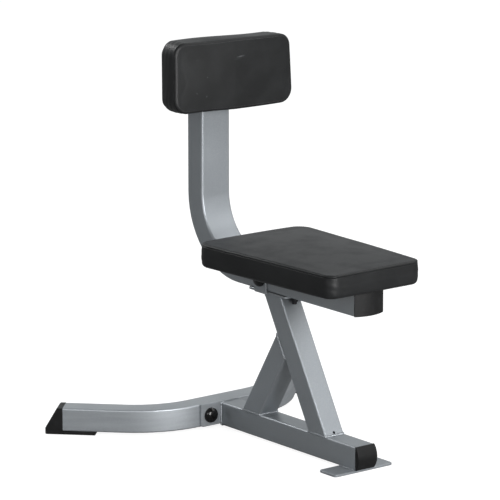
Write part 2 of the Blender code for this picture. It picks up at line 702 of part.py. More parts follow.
def bolt_stabilizer(root, tube, name, x):
    """One bolt through the rear plate and the stabilizer, its head under a domed cap."""
    rearward = axes(BACKWARD, UPWARD)
    inside = BOLT + 2 * HOLE_CLEARANCE
    height = STABILIZER_AXIS_HEIGHT
    drill(tube, inside, 2 * TUBE, root, (x, STABILIZER_CENTRE.y, height), rearward)
    cap_face = REAR_PLATE_FRONT - GAP
    front_washer = cap_face - WASHER_THICKNESS
    under_head = front_washer - GAP
    rear_washer = STABILIZER_FRONT + TUBE + GAP
    nut = rear_washer + WASHER_THICKNESS + GAP
    length = nut + NUT_HEIGHT + THREAD_SHOWING - under_head
    for place_name, y in (("front", front_washer), ("rear", rear_washer)):
        label = f"stabilizer_{place_name}_washer_{name}"
        washer(label, ZINC_STEEL, root, (x, y, height), rearward, WASHER, inside, WASHER_THICKNESS)
    frame_bolt("stabilizer_bolt_" + name, root, (x, under_head, height), rearward, length)
    lock_nut("stabilizer_nut_" + name, ZINC_STEEL, root, (x, nut, height), rearward)
    covered = WASHER_THICKNESS + GAP + BOLT_HEAD_HEIGHT
    bolt_cap("stabilizer_bolt_cap_" + name, root, (x, cap_face, height), axes(FORWARD, ACROSS), covered)


def frame_bolt(name, root, at, turn, length):
    return hex_bolt(name, ZINC_STEEL, root, at, turn, BOLT, BOLT_HEAD_FLATS, BOLT_HEAD_HEIGHT, length)


def build_seat_rail(root):
    """The bent tube under the seat that turns up into the post and reclines behind the back pad."""
    bm = bmesh.new()
    ring = ring_edges(bm, [(x, 0, z) for x, z in shrunk(SEAT_TUBE, 0)])
    level = BEND_START - SEAT_RAIL_FRONT
    ring = run(bm, ring, BACKWARD * level)
    ring = bend(bm, ring, (0, level, SEAT_RAIL_BEND), ACROSS, math.pi / 2, BEND_STEPS)
    start = Vector((0, SEAT_RAIL_FRONT, SEAT_RAIL_AXIS_HEIGHT))
    recline_height = RECLINE_CENTRE.z - start.z
    ring = run(bm, ring, UPWARD * (recline_height - SEAT_RAIL_BEND))
    ring = bend(bm, ring, RECLINE_CENTRE - start, -ACROSS, RECLINE, RECLINE_STEPS)
    run(bm, ring, POST_HEADING * POST_END)
    rail = part("seat_rail", mesh_of(bm, "seat_rail"), SILVER_PAINT, root, start)
    thicken(rail, SEAT_TUBE.wall)
    arched_cap("seat_rail_cap", SEAT_TUBE, root, start, FORWARD, UPWARD, over_width=True)
    post_end = POST_FOOT + POST_HEADING * POST_END
    arched_cap("post_cap", SEAT_TUBE, root, post_end, POST_HEADING, POST_FACING, over_width=True)
    return rail


def build_saddle(root, rail):
    """The plate on the main leg and its two ears, bolted to the seat rail."""
    hole = BOLT + 2 * HOLE_CLEARANCE
    outline = rectangle(SEAT_TUBE_WIDTH, SADDLE_LENGTH, SADDLE_CORNER)
    holes = [circle(hole, (0, end * SADDLE_BOLT_OFFSET)) for end in (-1, 1)]
    middle = (0, SADDLE_CENTRE, SADDLE_BOTTOM + SADDLE_THICKNESS / 2)
    plate("saddle_plate", outline, holes, SADDLE_THICKNESS, root, middle, None)
    top = SEAT_RAIL_TOP - EAR_TOP_MARGIN
    height = (SADDLE_BOTTOM + top) / 2
    outline = rectangle(EAR_WIDTH, top - SADDLE_BOTTOM, EAR_CORNER, EAR_FOOT_CORNER)
    holes = [circle(hole, (0, SEAT_RAIL_AXIS_HEIGHT - height))]
    for name, side in SIDES.items():
        middle = (side * (SEAT_TUBE_WIDTH / 2 + GAP + EAR_THICKNESS / 2), EAR_CENTRE, height)
        turn = axes(side * ACROSS, UPWARD)
        plate("saddle_ear_" + name, outline, holes, EAR_THICKNESS, root, middle, turn)
    for name, y in SADDLE_BOLTS.items():
        bolt_saddle(root, rail, name, y)
    bolt_ears(root, rail)


def bolt_saddle(root, rail, name, y):
    """One carriage bolt down through the seat rail and the saddle plate."""
    upright = axes(UPWARD, BACKWARD)
    inside = BOLT + 2 * HOLE_CLEARANCE
    drill(rail, inside, 2 * SEAT_TUBE_DEPTH, root, (0, y, SEAT_RAIL_AXIS_HEIGHT), upright)
    side = CARRIAGE_NECK + 2 * HOLE_CLEARANCE
    size = (side, side, 2 * CARRIAGE_NECK_HEIGHT)
    combine(rail, block("neck_hole_" + name, size, root, (0, y, SEAT_RAIL_TOP)))
    length = 3 * GAP + SEAT_TUBE_DEPTH + SADDLE_THICKNESS + NUT_STACK - GAP + THREAD_SHOWING
    carriage_bolt("saddle_bolt_" + name, BLACK_STEEL, root, (0, y, SEAT_RAIL_TOP + GAP), upright, length)
    base = SADDLE_BOTTOM - GAP - WASHER_THICKNESS
    label = "saddle_washer_" + name
    washer(label, BLACK_STEEL, root, (0, y, base), upright, WASHER, inside, WASHER_THICKNESS)
    lock_nut("saddle_nut_" + name, BLACK_STEEL, root, (0, y, base - GAP), axes(DOWNWARD, ACROSS))


def bolt_ears(root, rail):
    """The bolt through both ears and the seat rail, with a domed cap over each end."""
    inside = BOLT + 2 * HOLE_CLEARANCE
    rightward = axes(ACROSS, UPWARD)
    middle = Vector((0, EAR_CENTRE, SEAT_RAIL_AXIS_HEIGHT))
    drill(rail, inside, 2 * SEAT_TUBE_WIDTH, root, middle, rightward)
    face = SEAT_TUBE_WIDTH / 2 + GAP + EAR_THICKNESS + GAP
    stack = face + WASHER_THICKNESS + GAP
    for name, x in (("left", -face - WASHER_THICKNESS), ("right", face)):
        label = "ear_washer_" + name
        washer(label, ZINC_STEEL, root, middle + ACROSS * x, rightward, WASHER, inside, WASHER_THICKNESS)
    length = 2 * stack + NUT_HEIGHT + THREAD_CAPPED
    frame_bolt("ear_bolt", root, middle - ACROSS * stack, rightward, length)
    lock_nut("ear_nut", ZINC_STEEL, root, middle + ACROSS * stack, rightward)
    covered = {"left": BOLT_HEAD_HEIGHT, "right": NUT_HEIGHT + THREAD_CAPPED}
    for name, side in SIDES.items():
        turn = axes(side * ACROSS, UPWARD)
        height = WASHER_THICKNESS + GAP + covered[name]
        bolt_cap("ear_bolt_cap_" + name, root, middle + ACROSS * side * face, turn, height)


def pad_outline(pad, inset):
    """The plan of a pad, drawn in by the inset."""
    slope = (pad.end_width - pad.start_width) / 2 / pad.length
    drawn_in = inset * math.sqrt(1 + slope**2)
    near, far = pad.start + inset, pad.start + pad.length - inset
    near_half = pad.start_width / 2 + slope * inset - drawn_in
    far_half = pad.end_width / 2 - slope * inset - drawn_in
    corners = [Vector((-near_half, near)), Vector((near_half, near))]
    corners += [Vector((far_half, far)), Vector((-far_half, far))]
    near_corner, far_corner = pad.start_corner - inset, pad.end_corner - inset
    radii = [near_corner, near_corner, far_corner, far_corner]
    return filleted(corners, radii, CUSHION_CORNER_STEPS)


def cushion_levels(pad):
    """(inset, height) from the underside up: hem, bulged band, seam groove and rolled edge."""
    levels = []
    for step in range(HEM_STEPS + 1):
        angle = math.pi / 2 * step / HEM_STEPS
        levels.append((pad.hem * (1 - math.sin(angle)), pad.hem * (1 - math.cos(angle))))
    band_end = pad.band - SEAM_HALF_WIDTH
    for step in range(1, BAND_STEPS + 1):
        share = step / BAND_STEPS
        levels.append((-BAND_BULGE * math.sin(math.pi * share), pad.hem + (band_end - pad.hem) * share))
    levels.append((SEAM_DEPTH, pad.band))
    for step in range(ROLL_STEPS + 1):
        angle = math.pi / 2 * step / ROLL_STEPS
        height = pad.band + SEAM_HALF_WIDTH + ROLL_HEIGHT * math.sin(angle)
        levels.append((ROLL_WIDTH * (1 - math.cos(angle)), height))
    return levels


def cushion_data(name, pad):
    """A sewn cushion on local Z = 0 with its crown."""
    rings = [
        [Vector((x, y, height)) for x, y in pad_outline(pad, inset)] for inset, height in cushion_levels(pad)
    ]
    rim = rings[-1]
    middle = Vector((0, pad.start + pad.length / 2, rim[0].z))
    for step in range(1, CROWN_STEPS + 1):
        share = 1 - (1 - CROWN_END) * step / CROWN_STEPS
        rise = UPWARD * pad.crown * (1 - share**2)
        rings.append([middle + (point - middle) * share + rise for point in rim])
    return lofted(name, rings)


def build_pad(root, rail, name, pad, frame, bolts, head_reliefs):
    """A cushion over its board, screwed to a face of the seat rail, which is local Z = 0 of the frame."""
    cushion = part(name + "_cushion", cushion_data(name + "_cushion", pad), BLACK_VINYL, frame, UPWARD * GAP)
    board_inset = pad.hem + BOARD_MARGIN
    board_top = GAP + BOARD_THICKNESS
    pocket_top = board_top + GAP
    pocket_outline = pad_outline(pad, board_inset - GAP)
    pocket = extruded(name + "_pocket", [pocket_outline], 2 * pocket_top)
    combine(cushion, helper(name + "_pocket", pocket, frame))
    holes = [circle(TNUT_BARREL + 2 * GAP, (0, y)) for y in bolts.values()]
    holes += [circle(CARRIAGE_HEAD + 2 * HEAD_RELIEF, (0, y)) for y in head_reliefs]
    board = extruded(name + "_board", [pad_outline(pad, board_inset), *holes], BOARD_THICKNESS)
    part(name + "_board", board, PLYWOOD, frame, UPWARD * (GAP + BOARD_THICKNESS / 2))
    for label, y in bolts.items():
        bolt_pad(rail, cushion, frame, name, label, y, pocket_top)


def bolt_pad(rail, cushion, frame, name, label, y, board_top):
    """One pad bolt from inside the tube into its T-nut, with an access hole in the far wall."""
    upright = axes(UPWARD, BACKWARD)
    wall = 4 * SEAT_TUBE_WALL
    drill(rail, PAD_BOLT + 2 * HOLE_CLEARANCE, wall, frame, (0, y, 0))
    drill(rail, ACCESS_HOLE, wall, frame, (0, y, -SEAT_TUBE_DEPTH))
    tip = board_top + TNUT_FLANGE_THICKNESS + PAD_BOLT_TIP
    drill(cushion, TNUT_FLANGE + 2 * GAP, 2 * (tip + GAP - board_top), frame, (0, y, board_top))
    flange, barrel, bore = TNUT_FLANGE / 2, TNUT_BARREL / 2, PAD_BOLT / 2 + GAP
    profile = [
        (bore, TNUT_FLANGE_THICKNESS),
        (flange, TNUT_FLANGE_THICKNESS),
        (flange, 0),
        (barrel, 0),
        (barrel, -TNUT_DEPTH),
        (bore, -TNUT_DEPTH),
    ]
    turned(f"{name}_tnut_{label}", profile, ZINC_STEEL, frame, (0, y, board_top))
    base = -SEAT_TUBE_WALL - GAP - PAD_WASHER_THICKNESS
    inside = PAD_BOLT + 2 * HOLE_CLEARANCE
    washer_name = f"{name}_washer_{label}"
    washer(washer_name, ZINC_STEEL, frame, (0, y, base), upright, PAD_WASHER, inside, PAD_WASHER_THICKNESS)
    head = (PAD_BOLT, PAD_BOLT_HEAD_FLATS, PAD_BOLT_HEAD_HEIGHT)
    hex_bolt(f"{name}_bolt_{label}", ZINC_STEEL, frame, (0, y, base - GAP), upright, *head, tip - base + GAP)


def build_pads(root, rail):
    """The seat pad on the rail, and the back pad on the reclined end of the post."""
    seat_frame = guide("seat_pad_frame", root, (0, SEAT_FRONT, SEAT_RAIL_TOP))
    rear_bolt = BEND_START - SEAT_BOLT_SETBACK - SEAT_FRONT
    seat_bolts = {"front": SEAT_OVERHANG + SEAT_BOLT_FRONT, "rear": rear_bolt}
    head_reliefs = [y - SEAT_FRONT for y in SADDLE_BOLTS.values()]
    build_pad(root, rail, "seat", SEAT_PAD, seat_frame, seat_bolts, head_reliefs)
    post_face = POST_FOOT + POST_FACING * SEAT_TUBE_DEPTH / 2
    back_frame = guide("back_pad_frame", root, post_face, axes(POST_FACING, POST_HEADING))
    back_bolts = {"lower": BACK_BOLT_LOWER, "upper": BACK_BOLT_LOWER + BACK_BOLT_SPACING}
    build_pad(root, rail, "back", BACK_PAD, back_frame, back_bolts, [])


def centre_on_origin(root):
    """Moves the stool so that the middle of its length stands over the origin."""
    bpy.context.view_layer.update()
    graph = bpy.context.evaluated_depsgraph_get()
    reach = []
    for item in PARTS.objects:
        solid = item.evaluated_get(graph)
        reach += [(solid.matrix_world @ vert.co).y for vert in solid.to_mesh().vertices]
        solid.to_mesh_clear()
    root.location.y = -(min(reach) + max(reach)) / 2


def build_stool():
    root = guide("stool_root", None, (0, 0, 0))
    build_base(root)
    build_main_leg(root)
    build_rear_brace(root)
    build_stabilizer(root)
    rail = build_seat_rail(root)
    build_saddle(root, rail)
    build_pads(root, rail)
    centre_on_origin(root)


clear_scene()
PARTS = new_collection("gym_utility_stool")
CUTTERS = new_collection("cutters")
build_stool()
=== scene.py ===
"""The looks of a gym utility stool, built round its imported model.

Lengths are in metres. The stool faces -Y, +Z is up and the floor is at Z = 0.
"""

import json
import logging
import math
from dataclasses import dataclass
from enum import Enum

import bmesh
import bpy
import numpy as np
from bmesh.types import BMEdge, BMesh, BMVert
from bpy.types import Material, Mesh, NodeSocket, NodeTree, Object
from mathutils import Matrix, Vector, noise
from mathutils.bvhtree import BVHTree


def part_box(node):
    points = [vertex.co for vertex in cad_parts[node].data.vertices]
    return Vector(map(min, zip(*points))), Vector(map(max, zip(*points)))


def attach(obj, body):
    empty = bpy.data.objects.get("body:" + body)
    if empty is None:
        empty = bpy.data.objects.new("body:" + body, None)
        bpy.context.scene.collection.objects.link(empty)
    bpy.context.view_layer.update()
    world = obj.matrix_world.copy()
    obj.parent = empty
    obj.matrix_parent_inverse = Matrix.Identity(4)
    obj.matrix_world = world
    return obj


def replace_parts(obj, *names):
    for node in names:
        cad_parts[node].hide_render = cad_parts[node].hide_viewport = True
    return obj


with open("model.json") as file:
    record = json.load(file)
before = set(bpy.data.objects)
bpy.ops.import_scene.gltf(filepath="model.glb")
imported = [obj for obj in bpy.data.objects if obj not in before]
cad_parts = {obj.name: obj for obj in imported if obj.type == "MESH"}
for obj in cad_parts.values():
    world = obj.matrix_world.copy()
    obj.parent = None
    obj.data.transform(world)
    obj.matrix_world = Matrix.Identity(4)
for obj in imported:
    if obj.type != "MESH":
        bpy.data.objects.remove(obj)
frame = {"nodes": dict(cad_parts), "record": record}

LOG = logging.getLogger("stool")
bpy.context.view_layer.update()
BODY = "root"
MM = 0.001
MERGE = 0.01 * MM
SHARP = math.radians(35)
SIDES = {"left": -1, "right": 1}
ACROSS = Vector((1, 0, 0))
UPWARD = Vector((0, 0, 1))
ROUND = 0.5  # a bevel's profile, where it is part of a circle
LARGEST_FIRST = 100  # the weight that lets large faces set the shading
EASE_SAMPLES = 4

# The Mix node's sockets by number, as several of them share a name
MIX_SHARE, MIX_FIRST, MIX_SECOND, MIX_RESULT = 0, 6, 7, 2

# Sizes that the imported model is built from
GAP = 0.3 * MM
TUBE = 50.8 * MM
LEG_LEAN = math.radians(29)
BRACE_LEAN = math.radians(31.5)
SEAT_TUBE_DEPTH = 50.8 * MM
SADDLE_TO_BEND = 39.4 * MM
RAIL_BEND = 146 * MM
RECLINE_RISE = 354 * MM
RECLINE_BEND = 300 * MM
RECLINE = math.radians(2.5)
SEAT_OVERHANG = 25 * MM
SEAT_TAIL = 5.6 * MM
BOARD_THICKNESS = 12 * MM
BOARD_MARGIN = 3 * MM

Triple = tuple[float, float, float]
Range = tuple[float, float]

# Imported nodes whose powder coat carries painted sheen: lighter horizontal streaks and a lighter
# tone, standing in for the light on the stabilizer's bend and the rear plate
PAINTED_SHEEN_NODES = ("stabilizer_tube", "rear_plate")


class Slot(Enum):
    """The record's material slots."""

    SILVER_PAINT = "silver_paint"
    BLACK_PLASTIC = "black_plastic"
    GLOSS_BLACK = "gloss_black"
    BLACK_VINYL = "black_vinyl"
    PLYWOOD = "plywood"
    ZINC_STEEL = "zinc_steel"
    BLACK_STEEL = "black_steel"


@dataclass(frozen=True)
class Noise:
    """Soft noise in a finish, with so many blotches to the metre.

    It is stretched and then turned, and mapped from its source range to its target, if it has one.
    Its relief is the strength of its bump, and the bump's depth in millimetres.
    """

    scale: float
    detail: float = 2
    roughness: float = 0.5
    stretch: Triple | None = None
    turn: Triple = (0, 0, 0)
    source: Range = (0.3, 0.7)
    target: Range | None = None
    relief: Range = (0, 0)


class Graph:
    """A material and the nodes that its finish is made of."""

    def __init__(self, name: str) -> None:
        """Starts a material with its shader and object coordinates.

        Args:
            name: What the material is called.
        """
        self.material = bpy.data.materials.new(name)
        self.material.use_nodes = True
        self.tree = self.material.node_tree
        self.shader = self.tree.nodes["Principled BSDF"]
        self.point = self.add("TexCoord").outputs["Object"]

    def add(self, kind: str, sockets: dict | None = None, **settings: object) -> bpy.types.Node:
        """Adds a shader node.

        Args:
            kind: The node's type, without its common prefix.
            sockets: Values or outputs for its inputs, by name or number.
            settings: The node's own properties.

        Returns:
            The new node.
        """
        node = self.tree.nodes.new("ShaderNode" + kind)
        for name, value in settings.items():
            setattr(node, name, value)
        for name, value in (sockets or {}).items():
            self.feed(node.inputs[name], value)
        return node

    def feed(self, socket: NodeSocket, value: object) -> None:
        """Links an output to a socket, or sets the socket to a constant.

        Args:
            socket: The input that is fed.
            value: An output socket, or a number, colour or vector.
        """
        if isinstance(value, NodeSocket):
            self.tree.links.new(value, socket)
        else:
            socket.default_value = (*value, 1) if socket.type == "RGBA" else value

    def noise(self, layer: Noise) -> NodeSocket:
        """Makes a layer of noise.

        Args:
            layer: What the noise is like.

        Returns:
            The noise, from 0 to 1 or within its target.
        """
        point = self.point
        if layer.stretch:
            sockets = {"Vector": point, "Scale": layer.stretch, "Rotation": layer.turn}
            point = self.add("Mapping", sockets).outputs["Vector"]
        sockets = {"Vector": point, "Scale": layer.scale}
        sockets |= {"Detail": layer.detail, "Roughness": layer.roughness}
        value = self.add("TexNoise", sockets).outputs["Fac"]
        return self.span(value, layer.source, layer.target) if layer.target else value

    def cells(self, scale: float) -> NodeSocket:
        """Distance to the nearest edge in a pattern of cells, so many to the metre."""
        sockets = {"Vector": self.point, "Scale": scale}
        return self.add("TexVoronoi", sockets, feature="DISTANCE_TO_EDGE").outputs["Distance"]

    def span(self, value: NodeSocket, source: Range, target: Range = (0, 1)) -> NodeSocket:
        """Maps one range of a value to another, clamped at both ends."""
        names = ("Value", "From Min", "From Max", "To Min", "To Max")
        return self.add("MapRange", dict(zip(names, (value, *source, *target)))).outputs["Result"]

    def mixed(self, share: NodeSocket, first: object, second: object) -> NodeSocket:
        """Mixes two colours or colour outputs, by the share of the second one."""
        sockets = {MIX_SHARE: share, MIX_FIRST: first, MIX_SECOND: second}
        return self.add("Mix", sockets, data_type="RGBA").outputs[MIX_RESULT]

    def sum(self, first: object, second: object, operation: str = "ADD") -> NodeSocket:
        """Joins two numbers or outputs by arithmetic."""
        return self.add("Math", {0: first, 1: second}, operation=operation).outputs[0]

    def spot(self, place: Triple, reach: Triple, tilt: float) -> NodeSocket:
        """A soft oval spot, from 1 in its middle to 0 at its edge.

        Args:
            place: Its middle, in millimetres.
            reach: Its half lengths, in millimetres.
            tilt: Its turn about Y, in radians.

        Returns:
            The spot.
        """
        middle, half = ([length * MM for length in lengths] for lengths in (place, reach))
        sockets = {"Vector": self.point, "Location": middle, "Scale": half}
        sockets["Rotation"] = (0, tilt, 0)
        point = self.add("Mapping", sockets, vector_type="TEXTURE").outputs["Vector"]
        return self.add("TexGradient", {"Vector": point}, gradient_type="SPHERICAL").outputs["Fac"]

    def bump(self, *layers: tuple[NodeSocket, Range], ease: float = 0.0) -> None:
        """Raises the surface by one or more layers, finest last.

        Args:
            layers: Height and relief of each layer.
            ease: Radius that sharp edges seem rounded by.
        """
        normal = None
        if ease:
            normal = self.add("Bevel", {"Radius": ease}, samples=EASE_SAMPLES).outputs["Normal"]
        for height, (strength, depth) in layers:
            sockets = {"Height": height, "Strength": strength, "Distance": depth * MM}
            if normal:
                sockets["Normal"] = normal
            normal = self.add("Bump", sockets).outputs["Normal"]
        self.feed(self.shader.inputs["Normal"], normal)

    def dress(self, **values: object) -> Material:
        """Sets the shader's sockets.

        Args:
            values: Constants or outputs by socket name, with _ for a space.

        Returns:
            The finished material.
        """
        for name, value in values.items():
            self.feed(self.shader.inputs[name.replace("_", " ")], value)
        return self.material


@dataclass(frozen=True)
class PowderCoat:
    """Silver-grey powder coat with a fine metal fleck, faint blotches and a slight orange peel,
    and painted sheen streaks where it is given them.
    """

    name: str = "silver_powder_coat"
    base: Triple = (0.270, 0.289, 0.308)
    fleck: Triple = (0.395, 0.418, 0.440)
    flecks: Noise = Noise(1500, 1, source=(0.52, 0.72), target=(0, 1))
    blotches: Noise = Noise(14, 3, source=(0.35, 0.65), target=(-0.02, 0.05))
    # painted sheen: lighter horizontal streaks that also lighten the whole tone, in place of
    # reflected light
    sheen_streaks: Noise | None = None
    gloss: Noise = Noise(9, 4, target=(0.37, 0.45))
    peel: Noise = Noise(260, relief=(0.10, 0.4))
    grit: Noise = Noise(1100, 1, relief=(0.06, 0.2))
    metallic: float = 0.62
    coat: float = 0.10
    coat_roughness: float = 0.22
    ease: float = 1 * MM

    def make(self) -> Material:
        """Makes the finish.

        Returns:
            The material.
        """
        graph = Graph(self.name)
        flecks, blotches = graph.noise(self.flecks), graph.noise(self.blotches)
        # painted sheen: the streaks push the colour towards the lighter fleck
        if self.sheen_streaks:
            blotches = graph.sum(blotches, graph.noise(self.sheen_streaks))
        peel, grit = graph.noise(self.peel), graph.noise(self.grit)
        graph.bump((peel, self.peel.relief), (grit, self.grit.relief), ease=self.ease)
        return graph.dress(
            Base_Color=graph.mixed(graph.sum(flecks, blotches), self.base, self.fleck),
            Roughness=graph.noise(self.gloss),
            Metallic=self.metallic,
            Coat_Weight=self.coat,
            Coat_Roughness=self.coat_roughness,
        )


@dataclass(frozen=True)
class MouldedPlastic:
    """Black moulded plastic with a spark-eroded grain and a soft sheen."""

    name: str = "black_moulded_plastic"
    base: Triple = (0.0070, 0.0070, 0.0072)
    worn: Triple = (0.016, 0.016, 0.0165)
    wear: Noise = Noise(60, 5, 0.62, source=(0.52, 0.78), target=(0, 0.8))
    gloss: Noise = Noise(45, 4, target=(0.39, 0.54))
    waves: Noise = Noise(90, relief=(0.12, 0.3))
    grain: Noise = Noise(1600, relief=(0.22, 0.12))
    specular: float = 0.22

    def make(self) -> Material:
        """Makes the finish.

        Returns:
            The material.
        """
        graph = Graph(self.name)
        waves, grain = graph.noise(self.waves), graph.noise(self.grain)
        graph.bump((waves, self.waves.relief), (grain, self.grain.relief))
        return graph.dress(
            Base_Color=graph.mixed(graph.noise(self.wear), self.base, self.worn),
            Roughness=graph.noise(self.gloss),
            Specular_IOR_Level=self.specular,
        )


@dataclass(frozen=True)
class GlossPlastic:
    """Polished black plastic with a little dust and hairline scratches."""

    name: str = "gloss_black_plastic"
    base: Triple = (0.0035, 0.0035, 0.0036)
    dust: Triple = (0.009, 0.009, 0.009)
    specks: Noise = Noise(420, 3, 0.6, source=(0.6, 0.85), target=(0, 0.5))
    scratches: Noise = Noise(
        500, stretch=(1, 0.08, 1), turn=(0.4, 0.2, 0.7), source=(0.4, 0.75), target=(0.09, 0.22)
    )
    waves: Noise = Noise(70, 1, relief=(0.05, 0.2))
    specular: float = 0.36

    def make(self) -> Material:
        """Makes the finish.

        Returns:
            The material.
        """
        graph = Graph(self.name)
        graph.bump((graph.noise(self.waves), self.waves.relief))
        return graph.dress(
            Base_Color=graph.mixed(graph.noise(self.specks), self.base, self.dust),
            Roughness=graph.noise(self.scratches),
            Specular_IOR_Level=self.specular,
        )


@dataclass(frozen=True)
class Scuff:
    """A pale mark: its middle and half lengths in millimetres, its tilt and how much it shows."""

    place: Triple
    reach: Triple
    tilt: float
    strength: float


# The worn strokes and specks on the back pad
BACK_SCUFFS = (
    Scuff((16.5, 114, 809.1), (13, 9, 2.3), -0.08, 0.8),
    Scuff((9, 114, 804.6), (14, 9, 1.3), -0.04, 0.2),
    Scuff((-99, 111, 742), (4.5, 9, 2.2), 0.6, 0.45),
    Scuff((-74.4, 111, 733.1), (2.4, 9, 2.4), 0.0, 0.7),
    Scuff((-71.6, 112.6, 773.7), (2, 9, 2), 0.0, 0.6),
)


@dataclass(frozen=True)
class Vinyl:
    """Black upholstery vinyl: pebbled grain, fine creases and a few pale scuffs.

    A pair of ranges maps the first one to the second.
    """

    name: str = "black_vinyl"
    base: Triple = (0.0100, 0.0104, 0.0108)
    pale: Triple = (0.0185, 0.0195, 0.0205)
    clouds: Noise = Noise(17, 4, 0.55, source=(0.42, 0.72), target=(0, 0.45))
    streaks: Noise = Noise(
        90, 3, stretch=(0.22, 1, 0.9), turn=(0, 0.5, 0), source=(0.70, 0.80), target=(0, 0.8)
    )
    scuffs: tuple[Scuff, ...] = ()
    scuffed: Triple = (0.085, 0.088, 0.092)
    scuff_core: float = 0.8
    scuff_breaks: tuple[Range, Range] = ((0.3, 0.6), (0.3, 1))
    creases: Noise = Noise(38, 5, 0.6, stretch=(1, 0.45, 0.8), relief=(0.10, 0.8))
    pebbles: float = 620
    pebble_edge: float = 0.35
    pebble_relief: Range = (0.10, 0.12)
    pores: Noise = Noise(1364, relief=(0.06, 0.08))
    gloss: tuple[Range, Range] = ((0.3, 1.1), (0.38, 0.53))
    specular: float = 0.24

    def make(self) -> Material:
        """Makes the finish.

        Returns:
            The material.
        """
        graph = Graph(self.name)
        pebbles = graph.span(graph.cells(self.pebbles), (0, self.pebble_edge))
        layers = (self.pores, self.creases, self.clouds)
        pores, creases, clouds = (graph.noise(layer) for layer in layers)
        colour = graph.mixed(graph.sum(clouds, graph.noise(self.streaks)), self.base, self.pale)
        for mark in self.scuffs:
            spot = graph.spot(mark.place, mark.reach, mark.tilt)
            worn = graph.span(spot, (0, self.scuff_core), (0, mark.strength))
            share = graph.sum(worn, graph.span(pores, *self.scuff_breaks), "MULTIPLY")
            colour = graph.mixed(share, colour, self.scuffed)
        reliefs = (self.creases.relief, self.pebble_relief, self.pores.relief)
        graph.bump(*zip((creases, pebbles, pores), reliefs))
        return graph.dress(
            Base_Color=colour,
            Roughness=graph.span(graph.sum(pores, clouds), *self.gloss),
            Specular_IOR_Level=self.specular,
        )


@dataclass(frozen=True)
class Thread:
    """Black bonded nylon thread with its twist."""

    name: str = "black_nylon_thread"
    base: Triple = (0.010, 0.010, 0.011)
    lit: Triple = (0.045, 0.046, 0.048)
    twists: float = 700
    distortion: float = 1.5
    relief: Range = (0.3, 0.1)
    sheen: float = 0.2
    roughness: float = 0.5

    def make(self) -> Material:
        """Makes the finish.

        Returns:
            The material.
        """
        graph = Graph(self.name)
        sockets = {"Vector": graph.point, "Scale": self.twists, "Distortion": self.distortion}
        twist = graph.add("TexWave", sockets).outputs["Fac"]
        colour = graph.mixed(twist, self.base, self.lit)
        graph.bump((twist, self.relief))
        return graph.dress(Base_Color=colour, Sheen_Weight=self.sheen, Roughness=self.roughness)


@dataclass(frozen=True)
class Plywood:
    """Raw plywood: grain along X, and the plies as bands through the thickness.

    The thickness runs through one of the axes, by number. A pair of ranges maps the first one to
    the second.
    """

    name: str
    through: int
    pale: Triple = (0.50, 0.35, 0.20)
    dark: Triple = (0.30, 0.19, 0.10)
    grain: Noise = Noise(150, 5, 0.6, stretch=(0.06, 1, 1), relief=(0.25, 0.3))
    grain_share: tuple[Range, Range] = ((0.35, 0.7), (0, 0.8))
    plies: float = 190
    ply_share: tuple[Range, Range] = ((0.2, 0.6), (0, 0.25))
    roughness: float = 0.68

    def make(self) -> Material:
        """Makes the finish.

        Returns:
            The material.
        """
        graph = Graph(self.name)
        grain = graph.noise(self.grain)
        depth = graph.add("SeparateXYZ", {0: graph.point}).outputs[self.through]
        ply = graph.sum(graph.sum(depth, self.plies * math.tau, "MULTIPLY"), 0, "SINE")
        share = graph.sum(graph.span(grain, *self.grain_share), graph.span(ply, *self.ply_share))
        graph.bump((grain, self.grain.relief))
        colour = graph.mixed(share, self.pale, self.dark)
        return graph.dress(Base_Color=colour, Roughness=self.roughness)


@dataclass(frozen=True)
class PlatedSteel:
    """Plated or blackened steel with turning marks and a faint cast."""

    name: str
    base: Triple
    cast: Triple
    metallic: float = 1.0
    gloss: Range = (0.24, 0.42)
    clouds: Noise = Noise(110, source=(0.35, 0.7), target=(0, 0.7))
    marks: Noise = Noise(900, stretch=(1, 1, 0.15), relief=(0.12, 0.1))

    def make(self) -> Material:
        """Makes the finish.

        Returns:
            The material.
        """
        graph = Graph(self.name)
        marks = graph.noise(self.marks)
        graph.bump((marks, self.marks.relief))
        return graph.dress(
            Base_Color=graph.mixed(graph.noise(self.clouds), self.base, self.cast),
            Roughness=graph.span(marks, self.marks.source, self.gloss),
            Metallic=self.metallic,
        )


class Finishes:
    """One material for each finish: by the record's slots, and by node where one differs."""

    def __init__(self) -> None:
        """Makes every material of the stool."""
        zinc = PlatedSteel("zinc_plate", base=(0.60, 0.61, 0.62), cast=(0.66, 0.62, 0.52))
        black = PlatedSteel(
            name="black_oxide",
            base=(0.012, 0.012, 0.013),
            cast=(0.03, 0.03, 0.032),
            metallic=0.6,
            gloss=(0.28, 0.46),
        )
        # painted sheen: lighter horizontal streaks for the stabilizer's bend and a lighter tone
        # for the rear plate
        sheen_streaks = Noise(95, stretch=(0.05, 0.1, 1), source=(0.34, 0.66), target=(0.2, 0.56))
        painted_sheen_coat = PowderCoat("powder_coat_painted_sheen", sheen_streaks=sheen_streaks).make()
        self.thread = Thread().make()
        self.by_node = dict.fromkeys(PAINTED_SHEEN_NODES, painted_sheen_coat)
        self.by_node["back_board"] = Plywood("back_plywood", through=1).make()
        self.by_node["back_cushion"] = Vinyl("back_vinyl", scuffs=BACK_SCUFFS).make()
        self.by_slot = {
            Slot.SILVER_PAINT: PowderCoat().make(),
            Slot.BLACK_PLASTIC: MouldedPlastic().make(),
            Slot.GLOSS_BLACK: GlossPlastic().make(),
            Slot.BLACK_VINYL: Vinyl().make(),
            Slot.PLYWOOD: Plywood("seat_plywood", through=2).make(),
            Slot.ZINC_STEEL: zinc.make(),
            Slot.BLACK_STEEL: black.make(),
        }


